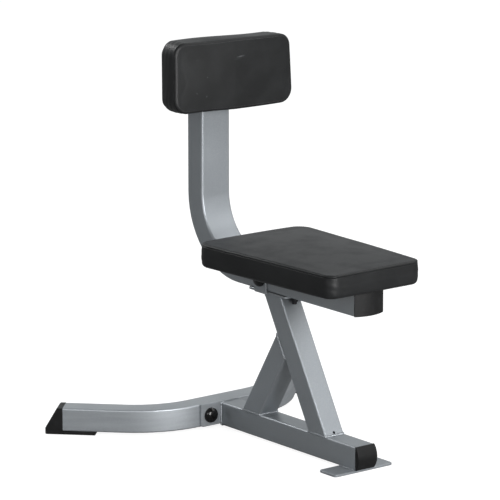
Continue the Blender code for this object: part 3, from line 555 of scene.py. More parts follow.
def linked(name: str, data: bpy.types.ID) -> Object:
    """Puts an object in the scene.

    Args:
        name: The object's name.
        data: Its mesh, light or camera.

    Returns:
        The object.
    """
    item = bpy.data.objects.new(name, data)
    bpy.context.scene.collection.objects.link(item)
    return item


def mesh_of(bm: BMesh, name: str) -> Mesh:
    """Turns a bmesh into a mesh.

    Args:
        bm: The shape, which is freed.
        name: The mesh's name.

    Returns:
        The mesh.
    """
    mesh = bpy.data.meshes.new(name)
    bm.to_mesh(mesh)
    bm.free()
    return mesh


def evaluated(item: Object) -> Mesh:
    """Applies an object's modifiers.

    Args:
        item: The object, which stays as it is.

    Returns:
        A new mesh.
    """
    bpy.context.view_layer.update()
    graph = bpy.context.evaluated_depsgraph_get()
    return bpy.data.meshes.new_from_object(item.evaluated_get(graph), depsgraph=graph)


def axes(first: Vector, second: Vector, third: Vector) -> Matrix:
    """The turn whose X, Y and Z axes are the directions given."""
    return Matrix((first, second, third)).transposed().to_4x4()


def toward(way: Vector) -> Matrix:
    """The turn that points Z along a direction."""
    return way.to_track_quat("Z", "Y").to_matrix().to_4x4()


def leaning(angle: float) -> Vector:
    """The direction that leans back from upright by an angle."""
    return Vector((0, math.sin(angle), math.cos(angle)))


def install(
    bm: BMesh, name: str, slot: Slot, finishes: Finishes, own: Material | None = None
) -> Object:
    """Turns a bmesh into a smooth piece of the stool that rides on its one body.

    Args:
        bm: The piece's shape, which is freed.
        name: The piece's name.
        slot: The record's slot that its finish stands for.
        finishes: The stool's materials.
        own: Its finish, where it isn't the slot's.

    Returns:
        The piece.
    """
    bmesh.ops.recalc_face_normals(bm, faces=bm.faces)
    for face in bm.faces:
        face.smooth = True
    for edge in bm.edges:
        edge.smooth = not edge.is_manifold or edge.calc_face_angle(0) < SHARP
    piece = linked(name, mesh_of(bm, name))
    piece.data.materials.append(own or finishes.by_slot[slot])
    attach(piece, BODY)
    return piece


def extruded(bm: BMesh, ring: list[BMEdge]) -> tuple[list[BMEdge], set[BMVert]]:
    """Extrudes a ring of edges, without moving what it makes.

    Args:
        bm: The shape that the ring is a part of.
        ring: The ring's edges.

    Returns:
        Edges and points of the new ring.
    """
    made = bmesh.ops.extrude_edge_only(bm, edges=ring)["geom"]
    verts = {item for item in made if isinstance(item, BMVert)}
    edges = [item for item in made if isinstance(item, BMEdge) and set(item.verts) <= verts]
    return edges, verts


def evenly(points: list[Vector], step: float) -> list[Vector]:
    """Points along a line at an even step near the one given.

    Args:
        points: The line.
        step: The wished distance.

    Returns:
        Points from the line's start to its end.
    """
    lengths = [(b - a).length for a, b in zip(points, points[1:])]
    count = max(2, round(sum(lengths) / step))
    share = sum(lengths) / count
    placed, index, passed = [points[0].copy()], 0, 0.0
    for number in range(1, count):
        while passed + lengths[index] < number * share:
            passed += lengths[index]
            index += 1
        along = (number * share - passed) / lengths[index]
        placed.append(points[index].lerp(points[index + 1], along))
    return placed + [points[-1].copy()]


def even_flats(item: Object) -> None:
    """Adds the modifier that shades flat faces evenly up to their eased edges."""
    even = item.modifiers.new("even flats", "WEIGHTED_NORMAL")
    even.mode, even.weight, even.keep_sharp = "FACE_AREA", LARGEST_FIRST, True


@dataclass(frozen=True)
class Ironwork:
    """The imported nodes, most of which stay: frame, plates, caps, bolts and boards."""

    merge: float = MERGE
    sharp: float = SHARP

    def rounding(self) -> NodeTree:
        """Makes a modifier's node group that shades round faces smooth and leaves sharp edges.

        Returns:
            The node group.
        """
        tree = bpy.data.node_groups.new("round_faces", "GeometryNodeTree")
        for way in ("INPUT", "OUTPUT"):
            tree.interface.new_socket("Geometry", in_out=way, socket_type="NodeSocketGeometry")
        names = ("NodeGroupInput", "GeometryNodeRemoveAttribute", "GeometryNodeMergeByDistance")
        names += ("GeometryNodeSetShadeSmooth", "GeometryNodeSetShadeSmooth", "NodeGroupOutput")
        chain = [tree.nodes.new(name) for name in names]
        _, forget, merge, faces, edges, _ = chain
        forget.inputs["Name"].default_value = "custom_normal"
        merge.inputs["Distance"].default_value = self.merge
        faces.domain, edges.domain = "FACE", "EDGE"
        edges.inputs["Shade Smooth"].default_value = False
        angle = tree.nodes.new("GeometryNodeInputMeshEdgeAngle")
        wide = tree.nodes.new("FunctionNodeCompare")
        wide.inputs["B"].default_value = self.sharp
        tree.links.new(angle.outputs["Unsigned Angle"], wide.inputs["A"])
        tree.links.new(wide.outputs["Result"], edges.inputs["Selection"])
        for before, after in zip(chain, chain[1:]):
            tree.links.new(before.outputs["Geometry"], after.inputs["Geometry"])
        return tree

    def dress(self, finishes: Finishes) -> int:
        """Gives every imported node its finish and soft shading.

        Args:
            finishes: The stool's materials.

        Returns:
            How many nodes were dressed.
        """
        tree = self.rounding()
        parts = frame["record"]["subparts"]
        for part in parts:
            node = frame["nodes"][part["node"]]
            usual = finishes.by_slot[Slot(part["material_slot"])]
            material = finishes.by_node.get(part["node"], usual)
            for holder in node.material_slots:
                holder.material = material
            node.modifiers.new("round faces", "NODES").node_group = tree
            even_flats(node)
        return len(parts)


@dataclass(frozen=True)
class Corner:
    """A rounded corner of a plan: where its sides meet, and how it is rounded.

    before and after point along its two sides, and half is half the angle between them.
    """

    point: Vector
    radius: float
    before: Vector
    after: Vector
    half: float

    @property
    def centre(self) -> Vector:
        """The centre of its rounding."""
        inward = (self.before + self.after).normalized()
        return self.point + inward * self.radius / math.sin(self.half)


@dataclass(frozen=True)
class Outline:
    """The plan of a pad or a tube's end: a tapered rectangle with rounded corners, about X = 0."""

    start: float
    length: float
    start_width: float
    end_width: float
    start_corner: float
    end_corner: float
    arc_steps: int = 16
    bevel_steps: int = 10

    @property
    def middle(self) -> float:
        """The middle of its length, along Y."""
        return self.start + self.length / 2

    def corners(self, inset: float = 0.0) -> list[Corner]:
        """The plan's corners.

        Args:
            inset: How far the plan is drawn in.

        Returns:
            The corners, from the near left one round to the far left one.
        """
        slope = (self.end_width - self.start_width) / 2 / self.length
        drawn_in = inset * math.sqrt(1 + slope**2)
        near, far = self.start + inset, self.start + self.length - inset
        near_half = self.start_width / 2 + slope * inset - drawn_in
        far_half = self.end_width / 2 - slope * inset - drawn_in
        flat = ((-near_half, near), (near_half, near), (far_half, far), (-far_half, far))
        points = [Vector((x, y, 0)) for x, y in flat]
        radii = [self.start_corner - inset] * 2 + [self.end_corner - inset] * 2
        found = []
        neighbours = zip(points[-1:] + points, points[1:] + points[:1])
        for point, radius, (last, following) in zip(points, radii, neighbours):
            before, after = (last - point).normalized(), (following - point).normalized()
            found.append(Corner(point, radius, before, after, before.angle(after) / 2))
        return found

    def path(self, inset: float, step: float) -> list[Vector]:
        """Points at an even step along the plan.

        Args:
            inset: How far the plan is drawn in.
            step: Distance between two points.

        Returns:
            The points, all the way round.
        """
        fine: list[Vector] = []
        for corner in self.corners(inset):
            spoke = corner.point + corner.before * corner.radius / math.tan(corner.half)
            spoke -= corner.centre
            turn = Matrix.Rotation((math.pi - 2 * corner.half) / self.arc_steps, 3, UPWARD)
            for _ in range(self.arc_steps + 1):
                fine.append(corner.centre + spoke)
                spoke = turn @ spoke
        return evenly(fine + fine[:1], step)[:-1]

    def blank(self, inset: float, height: float) -> BMesh:
        """A flat block on Z = 0 with this plan.

        Args:
            inset: How far the plan is drawn in.
            height: Height of the block.

        Returns:
            The block.
        """
        bm = bmesh.new()
        square = bmesh.ops.create_grid(bm, x_segments=1, y_segments=1, size=1)["verts"]
        placed = []
        for corner in self.corners(inset):
            x, y, _ = corner.point
            vert = next(v for v in square if v.co.x * x > 0 and v.co.y * (y - self.middle) > 0)
            placed.append((vert, corner))
        for vert, corner in placed:
            vert.co = corner.point
        for vert, corner in placed:
            ends = [edge.other_vert(vert).co for edge in vert.link_edges]
            ways = [(end - corner.point).normalized() for end in ends]
            bmesh.ops.bevel(
                bm,
                geom=[vert],
                offset=corner.radius / math.tan(ways[0].angle(ways[1]) / 2),
                offset_type="ABSOLUTE",
                segments=self.bevel_steps,
                profile=ROUND,
                affect="VERTICES",
                material=-1,
            )
        raised = bmesh.ops.extrude_face_region(bm, geom=bm.faces[:])["geom"]
        verts = [item for item in raised if isinstance(item, BMVert)]
        bmesh.ops.translate(bm, verts=verts, vec=(0, 0, height))
        bmesh.ops.recalc_face_normals(bm, faces=bm.faces)
        return bm

    def edge(self, points: np.ndarray) -> tuple[np.ndarray, np.ndarray]:
        """How far inside the plan's edge each point is, and which way is inward.

        Args:
            points: Places, one to a row; their heights aren't used.

        Returns:
            Level inward directions, and depths that are negative outside.
        """
        flat = points * (1, 1, 0)
        corners = self.corners()
        inward, depth = np.zeros_like(flat), np.full(len(flat), np.inf)
        for near, far in zip(corners, corners[1:] + corners[:1]):
            along = (far.point - near.point).normalized()
            normal = np.array((-along.y, along.x, 0))
            reach = (flat - near.point) @ normal
            inward[reach < depth] = normal
            depth = np.minimum(reach, depth)
        for corner in corners:
            away = flat - corner.centre
            inside = (away @ np.array(corner.before) < 0) & (away @ np.array(corner.after) < 0)
            reach = np.linalg.norm(away, axis=1)
            inside &= reach > MERGE
            inward[inside] = -away[inside] / reach[inside, None]
            depth[inside] = corner.radius - reach[inside]
        return inward, depth


@dataclass(frozen=True)
class Askew:
    """How far a cover sits off its board, seen from the front.

    It drifts to one side, its ends are lifted, dropped, thinned or spread, it is tucked in behind,
    and its upper seam sags beside a raised middle. All of this fades out below the base height.
    """

    drift: float = 0.0
    left_lift: float = 0.0
    right_drop: float = 0.0
    lower_drop: float = 0.25
    left_thin: float = 0.0
    right_thin: float = 0.0
    left_spread: float = 0.0
    tuck: float = 0.0
    sag: float = 0.0
    middle: float = 0.0
    hump: float = 2.3
    sag_side: float = -0.38
    sag_reach: float = 0.38
    sag_rise: int = 6
    spread_rise: int = 4
    base: float = 4 * MM

    def shift(self, plan: Outline, band: float, points: np.ndarray) -> np.ndarray:
        """How far the cover stands off its true place.

        Args:
            plan: The pad's plan.
            band: The height of the pad's band.
            points: Places in the pad's frame, one to a row.

        Returns:
            The ways from there to where it sits.
        """
        inward, _ = plan.edge(points)
        side = points[:, 0] * 2 / max(plan.start_width, plan.end_width)
        left, right = np.clip(-side, 0, 1), np.clip(side, 0, 1)
        upper = np.clip((points[:, 1] - plan.start) / plan.length, 0, 1)
        share = np.clip(points[:, 2] / band, 0, 1)
        ways = inward * (self.tuck * (1 - share) * np.abs(inward[:, 0]))[:, None]
        ways[:, 0] += self.drift - self.left_spread * share * left**self.spread_rise
        ways[:, 1] += self.left_lift * np.sin(self.hump * left)
        dropped = self.lower_drop + (1 - self.lower_drop) * upper
        ways[:, 1] -= self.right_drop * np.sin(self.hump * right) * dropped
        ways[:, 1] += self.middle * np.clip(1 - side**2, 0, 1) ** 2 * upper
        dip = np.exp(-(((side - self.sag_side) / self.sag_reach) ** 2))
        ways[:, 1] -= self.sag * dip * upper**self.sag_rise * share**2
        ways[:, 2] -= (self.left_thin * left + self.right_thin * right * upper) * share
        return ways * np.clip(points[:, 2:] / self.base, 0, 1)


@dataclass(frozen=True)
class Foam:
    """The foam of a pad: a block that is remeshed evenly and blown up as cloth."""

    name: str
    plan: Outline
    height: float
    under: float
    shrink: float = 3 * MM
    edge: float = 4 * MM
    edge_steps: int = 3
    voxel: float = 5 * MM
    pressure: float = 4.0
    swell: float = 6 * MM
    quality: int = 6
    frames: int = 20

    def build(self) -> Mesh:
        """Makes the foam, blown up as cloth.

        Returns:
            Its surface.
        """
        bm = self.plan.blank(self.shrink, self.height)
        rims = [
            ([e for e in bm.edges if all(v.co.z > self.height / 2 for v in e.verts)], self.edge),
            ([e for e in bm.edges if all(v.co.z < MERGE for v in e.verts)], self.under),
        ]
        for rim, offset in rims:
            bmesh.ops.bevel(
                bm,
                geom=rim,
                offset=offset,
                segments=self.edge_steps,
                profile=ROUND,
                affect="EDGES",
                material=-1,
            )
        foam = linked(self.name, mesh_of(bm, self.name))
        remesh = foam.modifiers.new("even", "REMESH")
        remesh.mode, remesh.voxel_size = "VOXEL", self.voxel
        foam.data = evaluated(foam)
        foam.modifiers.clear()
        self.inflate(foam)
        smooth = foam.modifiers.new("soft", "SUBSURF")
        smooth.levels = smooth.render_levels = 1
        made = evaluated(foam)
        bpy.data.objects.remove(foam)
        return made

    def inflate(self, foam: Object) -> None:
        """Blows the block up, and keeps each point within the swell of where it was.

        Args:
            foam: The remeshed block, whose mesh is changed.
        """
        base = foam.vertex_groups.new(name="base")
        rest = [v.co.copy() for v in foam.data.vertices]
        base.add([i for i, co in enumerate(rest) if co.z < self.voxel], 1.0, "REPLACE")
        settings = foam.modifiers.new("inflated", "CLOTH").settings
        settings.use_pressure = True
        settings.uniform_pressure_force = self.pressure
        settings.effector_weights.gravity = 0
        settings.vertex_group_mass = "base"
        settings.quality = self.quality
        scene = bpy.context.scene
        for number in range(1, self.frames + 1):
            scene.frame_set(number)
        blown = evaluated(foam)
        for vert, start in zip(blown.vertices, rest):
            moved = vert.co - start
            if moved.length > self.swell:
                vert.co = start + moved.normalized() * self.swell
        foam.modifiers.clear()
        foam.data = blown
        scene.frame_set(1)


@dataclass(frozen=True)
class Cushion:
    """A boxed pad: a sewn cover over foam, with rolled edges, a seam and stitches."""

    name: str
    node: str
    plan: Outline
    place: Matrix
    band: float
    crown: float
    hem: float
    seed: float
    askew: Askew = Askew()
    pitch: float = 3.2 * MM
    border_merge: float = 0.4
    roll: float = 7 * MM
    rise: float = 3.5 * MM
    seam_depth: float = 1.4 * MM
    seam_half_width: float = 1.4 * MM
    bulge: float = 1 * MM
    roll_points: int = 8
    seam_points: int = 7
    band_points: int = 21
    foam_slack: float = 0.5 * MM
    foam_hem: float = 0.6
    level: float = 0.7
    crown_rise: int = 3
    liveliness: float = 0.4
    most_uneven: float = 0.4 * MM
    tight: float = 48 * MM
    fold: float = 0.7 * MM
    fold_height: float = 17 * MM
    fold_reach: float = 46 * MM
    fold_slant: float = 0.22
    wander: float = 2.2
    wander_scale: float = 9
    slow_scale: Triple = (11, 11, 18)
    quick_scale: Triple = (34, 30, 50)
    slow: float = 0.35
    quick: float = 0.10
    stitch: Triple = (1.55 * MM, 0.36 * MM, 0.30 * MM)
    stitch_segments: tuple[int, int] = (6, 4)
    stitch_pitch: float = 4.4 * MM
    stitch_inset: float = 5.2 * MM

    def profile(self) -> np.ndarray:
        """The sewn section, from the top panel down to the board's pocket.

        Returns:
            Depth inside the plan and height, one pair to a row.
        """
        quarter = np.linspace(0, math.pi / 2, self.roll_points)
        top, low = self.band + self.seam_half_width, self.band - self.seam_half_width
        roll = np.column_stack(
            (self.roll * (1 - np.sin(quarter)), top + self.rise * np.cos(quarter))
        )
        share = np.linspace(-1, 1, self.seam_points)
        seam = np.column_stack(
            (self.seam_depth * (1 - np.abs(share)), self.band - self.seam_half_width * share)
        )
        share = np.linspace(0, 1, self.band_points)
        band = np.column_stack(
            (-self.bulge * np.sin(math.pi * share), low - (low - self.hem) * share)
        )
        hem = np.column_stack((self.hem * (1 - np.cos(quarter)), self.hem * (1 - np.sin(quarter))))
        pocket = self.hem + BOARD_MARGIN - GAP
        inner = np.array([(pocket, 0), (pocket, BOARD_THICKNESS + GAP)])
        return np.vstack((roll, seam[1:-1], band, hem[1:], inner))

    def cover(self) -> BMesh:
        """The sewn cover: a trimmed grid as top panel, and its rim drawn down along the section.

        Returns:
            The cover, closed.
        """
        bm = bmesh.new()
        reach = max(self.plan.length, self.plan.start_width, self.plan.end_width) / 2 + self.pitch
        middle = Matrix.Translation((0, self.plan.middle, 0))
        count = math.ceil(2 * reach / self.pitch)
        bmesh.ops.create_grid(bm, x_segments=count, y_segments=count, size=reach, matrix=middle)
        loop = self.plan.path(self.roll, self.pitch)
        for before, after in zip(loop, loop[1:] + loop[:1]):
            away = Vector((after.y - before.y, before.x - after.x, 0))
            everything = bm.verts[:] + bm.edges[:] + bm.faces[:]
            bmesh.ops.bisect_plane(
                bm, geom=everything, dist=MERGE, plane_co=before, plane_no=away, clear_outer=True
            )
        border = [vert for vert in bm.verts if vert.is_boundary]
        bmesh.ops.remove_doubles(bm, verts=border, dist=self.pitch * self.border_merge)
        rim = [edge for edge in bm.edges if edge.is_boundary]
        line = self.profile()
        self.drawn({vert for edge in rim for vert in edge.verts}, *line[0])
        for vert in bm.verts:
            vert.co.z = line[0][1]
        for depth, height in line[1:]:
            rim, verts = extruded(bm, rim)
            self.drawn(verts, depth, height)
        bmesh.ops.edgeloop_fill(bm, edges=rim)
        bmesh.ops.recalc_face_normals(bm, faces=bm.faces)
        return bm

    def drawn(self, verts: set[BMVert], depth: float, height: float) -> None:
        """Brings a ring of the cover to its place in the section.

        Args:
            verts: The ring.
            depth: How far inside the plan's edge it lies.
            height: How high it lies.
        """
        ring = list(verts)
        inward, now = self.plan.edge(np.array([vert.co for vert in ring]))
        for vert, way, reach in zip(ring, inward, now):
            vert.co += Vector(way) * (depth - reach)
            vert.co.z = height

    def shaped(self) -> BMesh:
        """The cover over the blown-up foam, with its crown, folds and small unevenness.

        Returns:
            The cover, in the pad's frame.
        """
        bm = self.cover()
        bm.normal_update()
        height, under = self.band - self.foam_slack, self.hem * self.foam_hem
        foam = Foam(self.name + "_foam", self.plan, height, under).build()
        places = [vert.co for vert in foam.vertices]
        tree = BVHTree.FromPolygons(places, [tuple(face.vertices) for face in foam.polygons])
        bpy.data.meshes.remove(foam)
        points = np.array([vert.co for vert in bm.verts])
        _, depth = self.plan.edge(points)
        outer = (points[:, 2] > self.band / 2) | (depth < self.hem - MERGE)
        soft = [vert for vert, seen in zip(bm.verts, outer) if seen]
        points, depth = points[outer], depth[outer]
        pressed = np.array([(tree.find_nearest(v.co)[0] - v.co).dot(v.normal) for v in soft])
        level = np.array([vert.normal.z > self.level for vert in soft])
        for panel in (level, ~level):
            pressed[panel] -= np.median(pressed[panel])
        from_seam = np.where(level, depth - self.roll / 2, self.band - points[:, 2])
        from_foot = np.where(level, np.inf, points[:, 2])
        loose = np.clip(np.minimum(from_seam, from_foot) / self.tight, 0, 1)
        swell = self.most_uneven * np.tanh(pressed * self.liveliness / self.most_uneven) * loose
        along = (points[:, 1] - self.plan.start) / self.plan.length * 2 - 1
        across = points[:, 0] * 2 / max(self.plan.start_width, self.plan.end_width)
        crown = self.crown * np.clip(1 - along**2, 0, 1) * np.clip(1 - across**2, 0, 1)
        lift = crown * np.clip(points[:, 2] / self.band, 0, 1) ** self.crown_rise
        ways = self.askew.shift(self.plan, self.band, points) + lift[:, None] * (0, 0, 1)
        firm = np.clip(points[:, 2] / self.hem, 0, 1)
        for vert, grown, slack, hold, way in zip(soft, swell, loose, firm, ways):
            proud = grown + (self.unevenness(vert.co) + self.folded(vert.co) * slack) * hold
            vert.co += vert.normal * proud + Vector(way)
        return bm

    def folded(self, point: Vector) -> float:
        """Soft folds that run round the corners of the band.

        Args:
            point: A place in the pad's frame.

        Returns:
            How far the vinyl stands proud there.
        """
        if point.z > self.band:
            return 0.0
        level = Vector((point.x, point.y, 0))
        away = min((level - corner.point).length for corner in self.plan.corners())
        close = math.exp(-((away / self.fold_reach) ** 2))
        scale = self.wander_scale
        wander = self.wander * noise.noise(Vector((point.x * scale, point.y * scale, self.seed)))
        slant = self.fold_slant * (point.x - point.y) / self.fold_height
        phase = math.tau * (point.z / self.fold_height + slant) + wander
        return self.fold * close * math.sin(phase)

    def unevenness(self, point: Vector) -> float:
        """Small hollows and swells of the foam under the vinyl.

        Args:
            point: A place in the pad's frame.

        Returns:
            How far the vinyl stands proud there.
        """
        slow, quick = (
            noise.noise(Vector((point.x * across, point.y * along, point.z * up + self.seed)))
            for across, along, up in (self.slow_scale, self.quick_scale)
        )
        return (self.slow * slow + self.quick * quick) * MM

    def stitches(self, piece: Object) -> BMesh:
        """A row of thread stitches on the top panel, beside the seam.

        Args:
            piece: The pad, in its own frame.

        Returns:
            The stitches, in the pad's frame.
        """
        surface = BVHTree.FromObject(piece, bpy.context.evaluated_depsgraph_get())
        bm = bmesh.new()
        around, rings = self.stitch_segments
        path = self.plan.path(self.stitch_inset, self.stitch_pitch)
        points = np.array(path) + (0, 0, self.band + self.rise)
        above = points + self.askew.shift(self.plan, self.band, points) + (0, 0, self.band)
        for index, start in enumerate(above):
            ahead = path[(index + 1) % len(path)] - path[index - 1]
            place, normal, _, _ = surface.ray_cast(Vector(start), -UPWARD)
            if place is None:
                continue
            along = (ahead - normal * ahead.dot(normal)).normalized()
            turn = axes(along, normal.cross(along), normal)
            matrix = Matrix.Translation(place) @ turn @ Matrix.Diagonal((*self.stitch, 1))
            bmesh.ops.create_uvsphere(
                bm, u_segments=around, v_segments=rings, radius=1, matrix=matrix
            )
        return bm

    def build(self, finishes: Finishes) -> Object:
        """Makes the pad and its stitches.

        Args:
            finishes: The stool's materials.

        Returns:
            The pad.
        """
        vinyl = finishes.by_node.get(self.node)
        piece = install(self.shaped(), self.name, Slot.BLACK_VINYL, finishes, vinyl)
        rows = self.stitches(piece)
        rows.transform(self.place)
        install(rows, self.name + "_stitches", Slot.BLACK_VINYL, finishes, finishes.thread)
        piece.data.transform(self.place)
        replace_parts(piece, self.node)
        return piece


@dataclass(frozen=True)
class WeldBead:
    """A rippled bead of weld along a line, under the same paint as the frame."""

    name: str
    path: tuple[Vector, ...]
    closed: bool = True
    radius: float = 2.3 * MM
    sides: int = 8
    step: float = 0.7 * MM
    ripple: float = 2.8 * MM
    depth: float = 0.16
    uneven: float = 0.12
    uneven_scale: float = 160
    blunt: float = 0.04
    join: float = 0.1

    def build(self, finishes: Finishes) -> Object:
        """Sweeps a small ring along the line.

        Args:
            finishes: The stool's materials.

        Returns:
            The bead.
        """
        points = evenly(list(self.path) + list(self.path[: int(self.closed)]), self.step)
        bm = bmesh.new()
        last = len(points) - 1
        before, ring = None, []
        for index, point in enumerate(points):
            nearer, further = max(index - 1, 0), min(index + 1, last)
            if self.closed and index in (0, last):
                nearer, further = last - 1, 1
            turn = toward(points[further] - points[nearer])
            size = self.size_at(point, index % last if self.closed else index, last)
            place = Matrix.Translation(point) @ turn @ Matrix.Diagonal((size, size, 1, 1))
            if before is None:
                bmesh.ops.create_circle(
                    bm, segments=self.sides, radius=1, matrix=place, cap_ends=not self.closed
                )
                ring = bm.edges[:]
            else:
                ring, verts = extruded(bm, ring)
                bmesh.ops.transform(bm, matrix=place @ before.inverted(), verts=list(verts))
            before = place
        if self.closed:
            bmesh.ops.remove_doubles(bm, verts=bm.verts, dist=self.radius * self.join)
        else:
            bmesh.ops.holes_fill(bm, edges=ring)
        return install(bm, self.name, Slot.SILVER_PAINT, finishes)

    def size_at(self, point: Vector, index: int, last: int) -> float:
        """The bead's radius at one step along it.

        Args:
            point: Where the step is.
            index: Which step it is.
            last: The last step's number.

        Returns:
            The radius, with the ripple, and drawn in at a free end.
        """
        waves = max(1, round(last * self.step / self.ripple))
        swell = 1 + self.depth * math.sin(math.tau * waves * index / last)
        swell += self.uneven * noise.noise(point * self.uneven_scale)
        if self.closed:
            return self.radius * swell
        from_end = min(index, last - index) * self.step
        return self.radius * swell * math.sqrt(min(1.0, from_end / self.radius + self.blunt))


@dataclass(frozen=True)
class Welds:
    """The welds that join the frame's tubes and plates."""

    corner: float = 5 * MM
    loop_step: float = 1 * MM
    plate_inset: float = 3 * MM
    plate_lift: float = 0.8 * MM
    plate_radius: float = 1.9 * MM
    ear_lift: float = 0.6 * MM
    ear_drop: float = 0.2 * MM
    ear_radius: float = 1.7 * MM

    def loop(self, name: str, place: Matrix, length: float) -> WeldBead:
        """A bead round a tube's end, in a frame with X across it and Y along its length."""
        plan = Outline(-length / 2, length, TUBE, TUBE, self.corner, self.corner)
        return WeldBead(name, tuple(place @ point for point in plan.path(0, self.loop_step)))

    def round_tubes(self) -> list[WeldBead]:
        """Beads round the ends of the leg, the brace and the base rail.

        Returns:
            The beads.
        """
        rail_low, rail_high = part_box("base_rail")
        leg_low, leg_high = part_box("main_leg")
        _, brace_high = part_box("rear_brace")
        saddle_low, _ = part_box("saddle_plate")
        leg, brace = TUBE / math.cos(LEG_LEAN), TUBE / math.cos(BRACE_LEAN)
        level = (
            ("weld_leg_foot", leg_low.y + leg / 2, rail_high.z, leg),
            ("weld_leg_head", leg_high.y - leg / 2, saddle_low.z, leg),
            ("weld_brace_foot", brace_high.y - brace / 2, rail_high.z, brace),
        )
        beads = [
            self.loop(name, Matrix.Translation((0, y, z)), length) for name, y, z, length in level
        ]
        heading = leaning(LEG_LEAN)
        facing = Vector((0, math.cos(LEG_LEAN), -math.sin(LEG_LEAN)))
        leg_rear = Vector((0, leg_low.y + leg, rail_high.z))
        brace_front = Vector((0, brace_high.y - brace, rail_high.z))
        brace_way = leaning(-BRACE_LEAN)
        reach = (leg_rear - brace_front).dot(facing) / brace_way.dot(facing)
        length = TUBE / math.sin(LEG_LEAN + BRACE_LEAN)
        middle = brace_front + brace_way * reach + heading * length / 2
        turn = axes(ACROSS, heading, ACROSS.cross(heading))
        beads.append(self.loop("weld_brace_head", Matrix.Translation(middle) @ turn, length))
        upright = Matrix.Rotation(math.pi / 2, 4, "X")
        centre = Matrix.Translation((0, rail_high.y, (rail_low.z + rail_high.z) / 2))
        beads.append(self.loop("weld_rear_plate", centre @ upright, TUBE))
        return beads

    def on_plates(self, name: str, side: int) -> list[WeldBead]:
        """Beads on one side of the foot plate, and at the edges of the saddle's ear.

        Args:
            name: The side's name.
            side: -1 for the left side, and 1 for the right one.

        Returns:
            The beads.
        """
        plate_low, plate_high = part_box("foot_plate")
        saddle_low, saddle_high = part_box("saddle_plate")
        ear_low, ear_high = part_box("saddle_ear_" + name)
        x, z = side * TUBE / 2, plate_high.z + self.plate_lift
        near, far = plate_low.y + self.plate_inset, plate_high.y - self.plate_inset
        line = (Vector((x, near, z)), Vector((x, far, z)))
        beads = [WeldBead("weld_foot_plate_" + name, line, closed=False, radius=self.plate_radius)]
        x = side * saddle_high.x
        low, high = saddle_low.z + self.ear_lift, saddle_high.z - self.ear_drop
        for end, y in (("front", ear_low.y), ("rear", ear_high.y)):
            line = (Vector((x, y, low)), Vector((x, y, high)))
            title = f"weld_ear_{name}_{end}"
            beads.append(WeldBead(title, line, closed=False, radius=self.ear_radius))
        return beads

    def build(self, finishes: Finishes) -> int:
        """Makes every bead.

        Args:
            finishes: The stool's materials.

        Returns:
            How many beads there are.
        """
        beads = self.round_tubes()
        for name, side in SIDES.items():
            beads += self.on_plates(name, side)
        for bead in beads:
            bead.build(finishes)
        return len(beads)


@dataclass(frozen=True)
class BoltCap:
    """A glossy domed cap over a frame bolt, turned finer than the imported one."""

    node: str
    heading: Vector
    steps: int = 48
    rings: int = 9
    rim: float = 3 * MM
    ease: float = 0.5 * MM
    fullness: float = 0.8
    bore: float = 10.7 * MM
    wall: float = 1.5 * MM

    def build(self, finishes: Finishes) -> Object:
        """Turns the cap on its axis.

        Args:
            finishes: The stool's materials.

        Returns:
            The cap.
        """
        low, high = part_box(self.node)
        outside = max(high - low) / 2
        tall = abs((high - low).dot(self.heading))
        base = (low + high) / 2 - self.heading * tall / 2
        rise = tall - self.rim
        over = math.asin((self.bore / outside) ** (1 / self.fullness))
        roof = self.rim + rise * math.cos(over) - self.wall
        points = [(0.0, tall)]
        for step in range(1, self.rings + 1):
            angle = math.pi / 2 * step / self.rings
            radius = outside * math.sin(angle) ** self.fullness
            points.append((radius, self.rim + rise * math.cos(angle)))
        points += [(outside, self.ease), (outside - self.ease, 0), (self.bore, 0)]
        points += [(self.bore, roof), (0.0, roof)]
        bm = bmesh.new()
        verts = [bm.verts.new((radius, 0, height)) for radius, height in points]
        edges = [bm.edges.new(pair) for pair in zip(verts, verts[1:])]
        bmesh.ops.spin(
            bm,
            geom=verts + edges,
            cent=(0, 0, 0),
            axis=(0, 0, 1),
            angle=math.tau,
            steps=self.steps,
            use_merge=True,
        )
        bmesh.ops.remove_doubles(bm, verts=bm.verts, dist=MERGE)
        bm.transform(Matrix.Translation(base) @ toward(self.heading))
        piece = install(bm, self.node + "_dome", Slot.GLOSS_BLACK, finishes)
        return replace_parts(piece, self.node)


@dataclass(frozen=True)
class PostCap:
    """The post's arched end cap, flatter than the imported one, as the back pad hides it."""

    node: str = "post_cap"
    arch: float = 10 * MM
    flatter: float = 0.76

    def build(self, finishes: Finishes) -> Object:
        """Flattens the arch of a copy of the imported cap, and drops the normals of its old shape.

        Args:
            finishes: The stool's materials.

        Returns:
            The cap.
        """
        packed = frame["nodes"][self.node]
        bm = bmesh.new()
        bm.from_mesh(packed.data)
        bm.transform(packed.matrix_world)
        bmesh.ops.remove_doubles(bm, verts=bm.verts, dist=MERGE)
        heading = leaning(RECLINE)
        foot = max(vert.co.dot(heading) for vert in bm.verts) - self.arch
        for vert in bm.verts:
            above = max(vert.co.dot(heading) - foot, 0)
            vert.co -= heading * above * (1 - self.flatter)
        piece = install(bm, self.node + "_arch", Slot.BLACK_PLASTIC, finishes)
        packed_normals = piece.data.attributes.get("custom_normal")
        if packed_normals:
            piece.data.attributes.remove(packed_normals)
        even_flats(piece)
        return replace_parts(piece, self.node)


@dataclass(frozen=True)
class Softbox:
    """A rectangular soft light, aimed at the stool."""

    name: str
    place: Triple
    width: float
    height: float
    watts: float

    def build(self, target: Vector) -> None:
        """Sets the light up.

        Args:
            target: Where it is aimed.
        """
        data = bpy.data.lights.new(self.name, "AREA")
        data.shape, data.energy = "RECTANGLE", self.watts
        data.size, data.size_y = self.width, self.height
        lamp = linked(self.name, data)
        lamp.location = self.place
        lamp.rotation_euler = (target - Vector(self.place)).to_track_quat("-Z", "Y").to_euler()


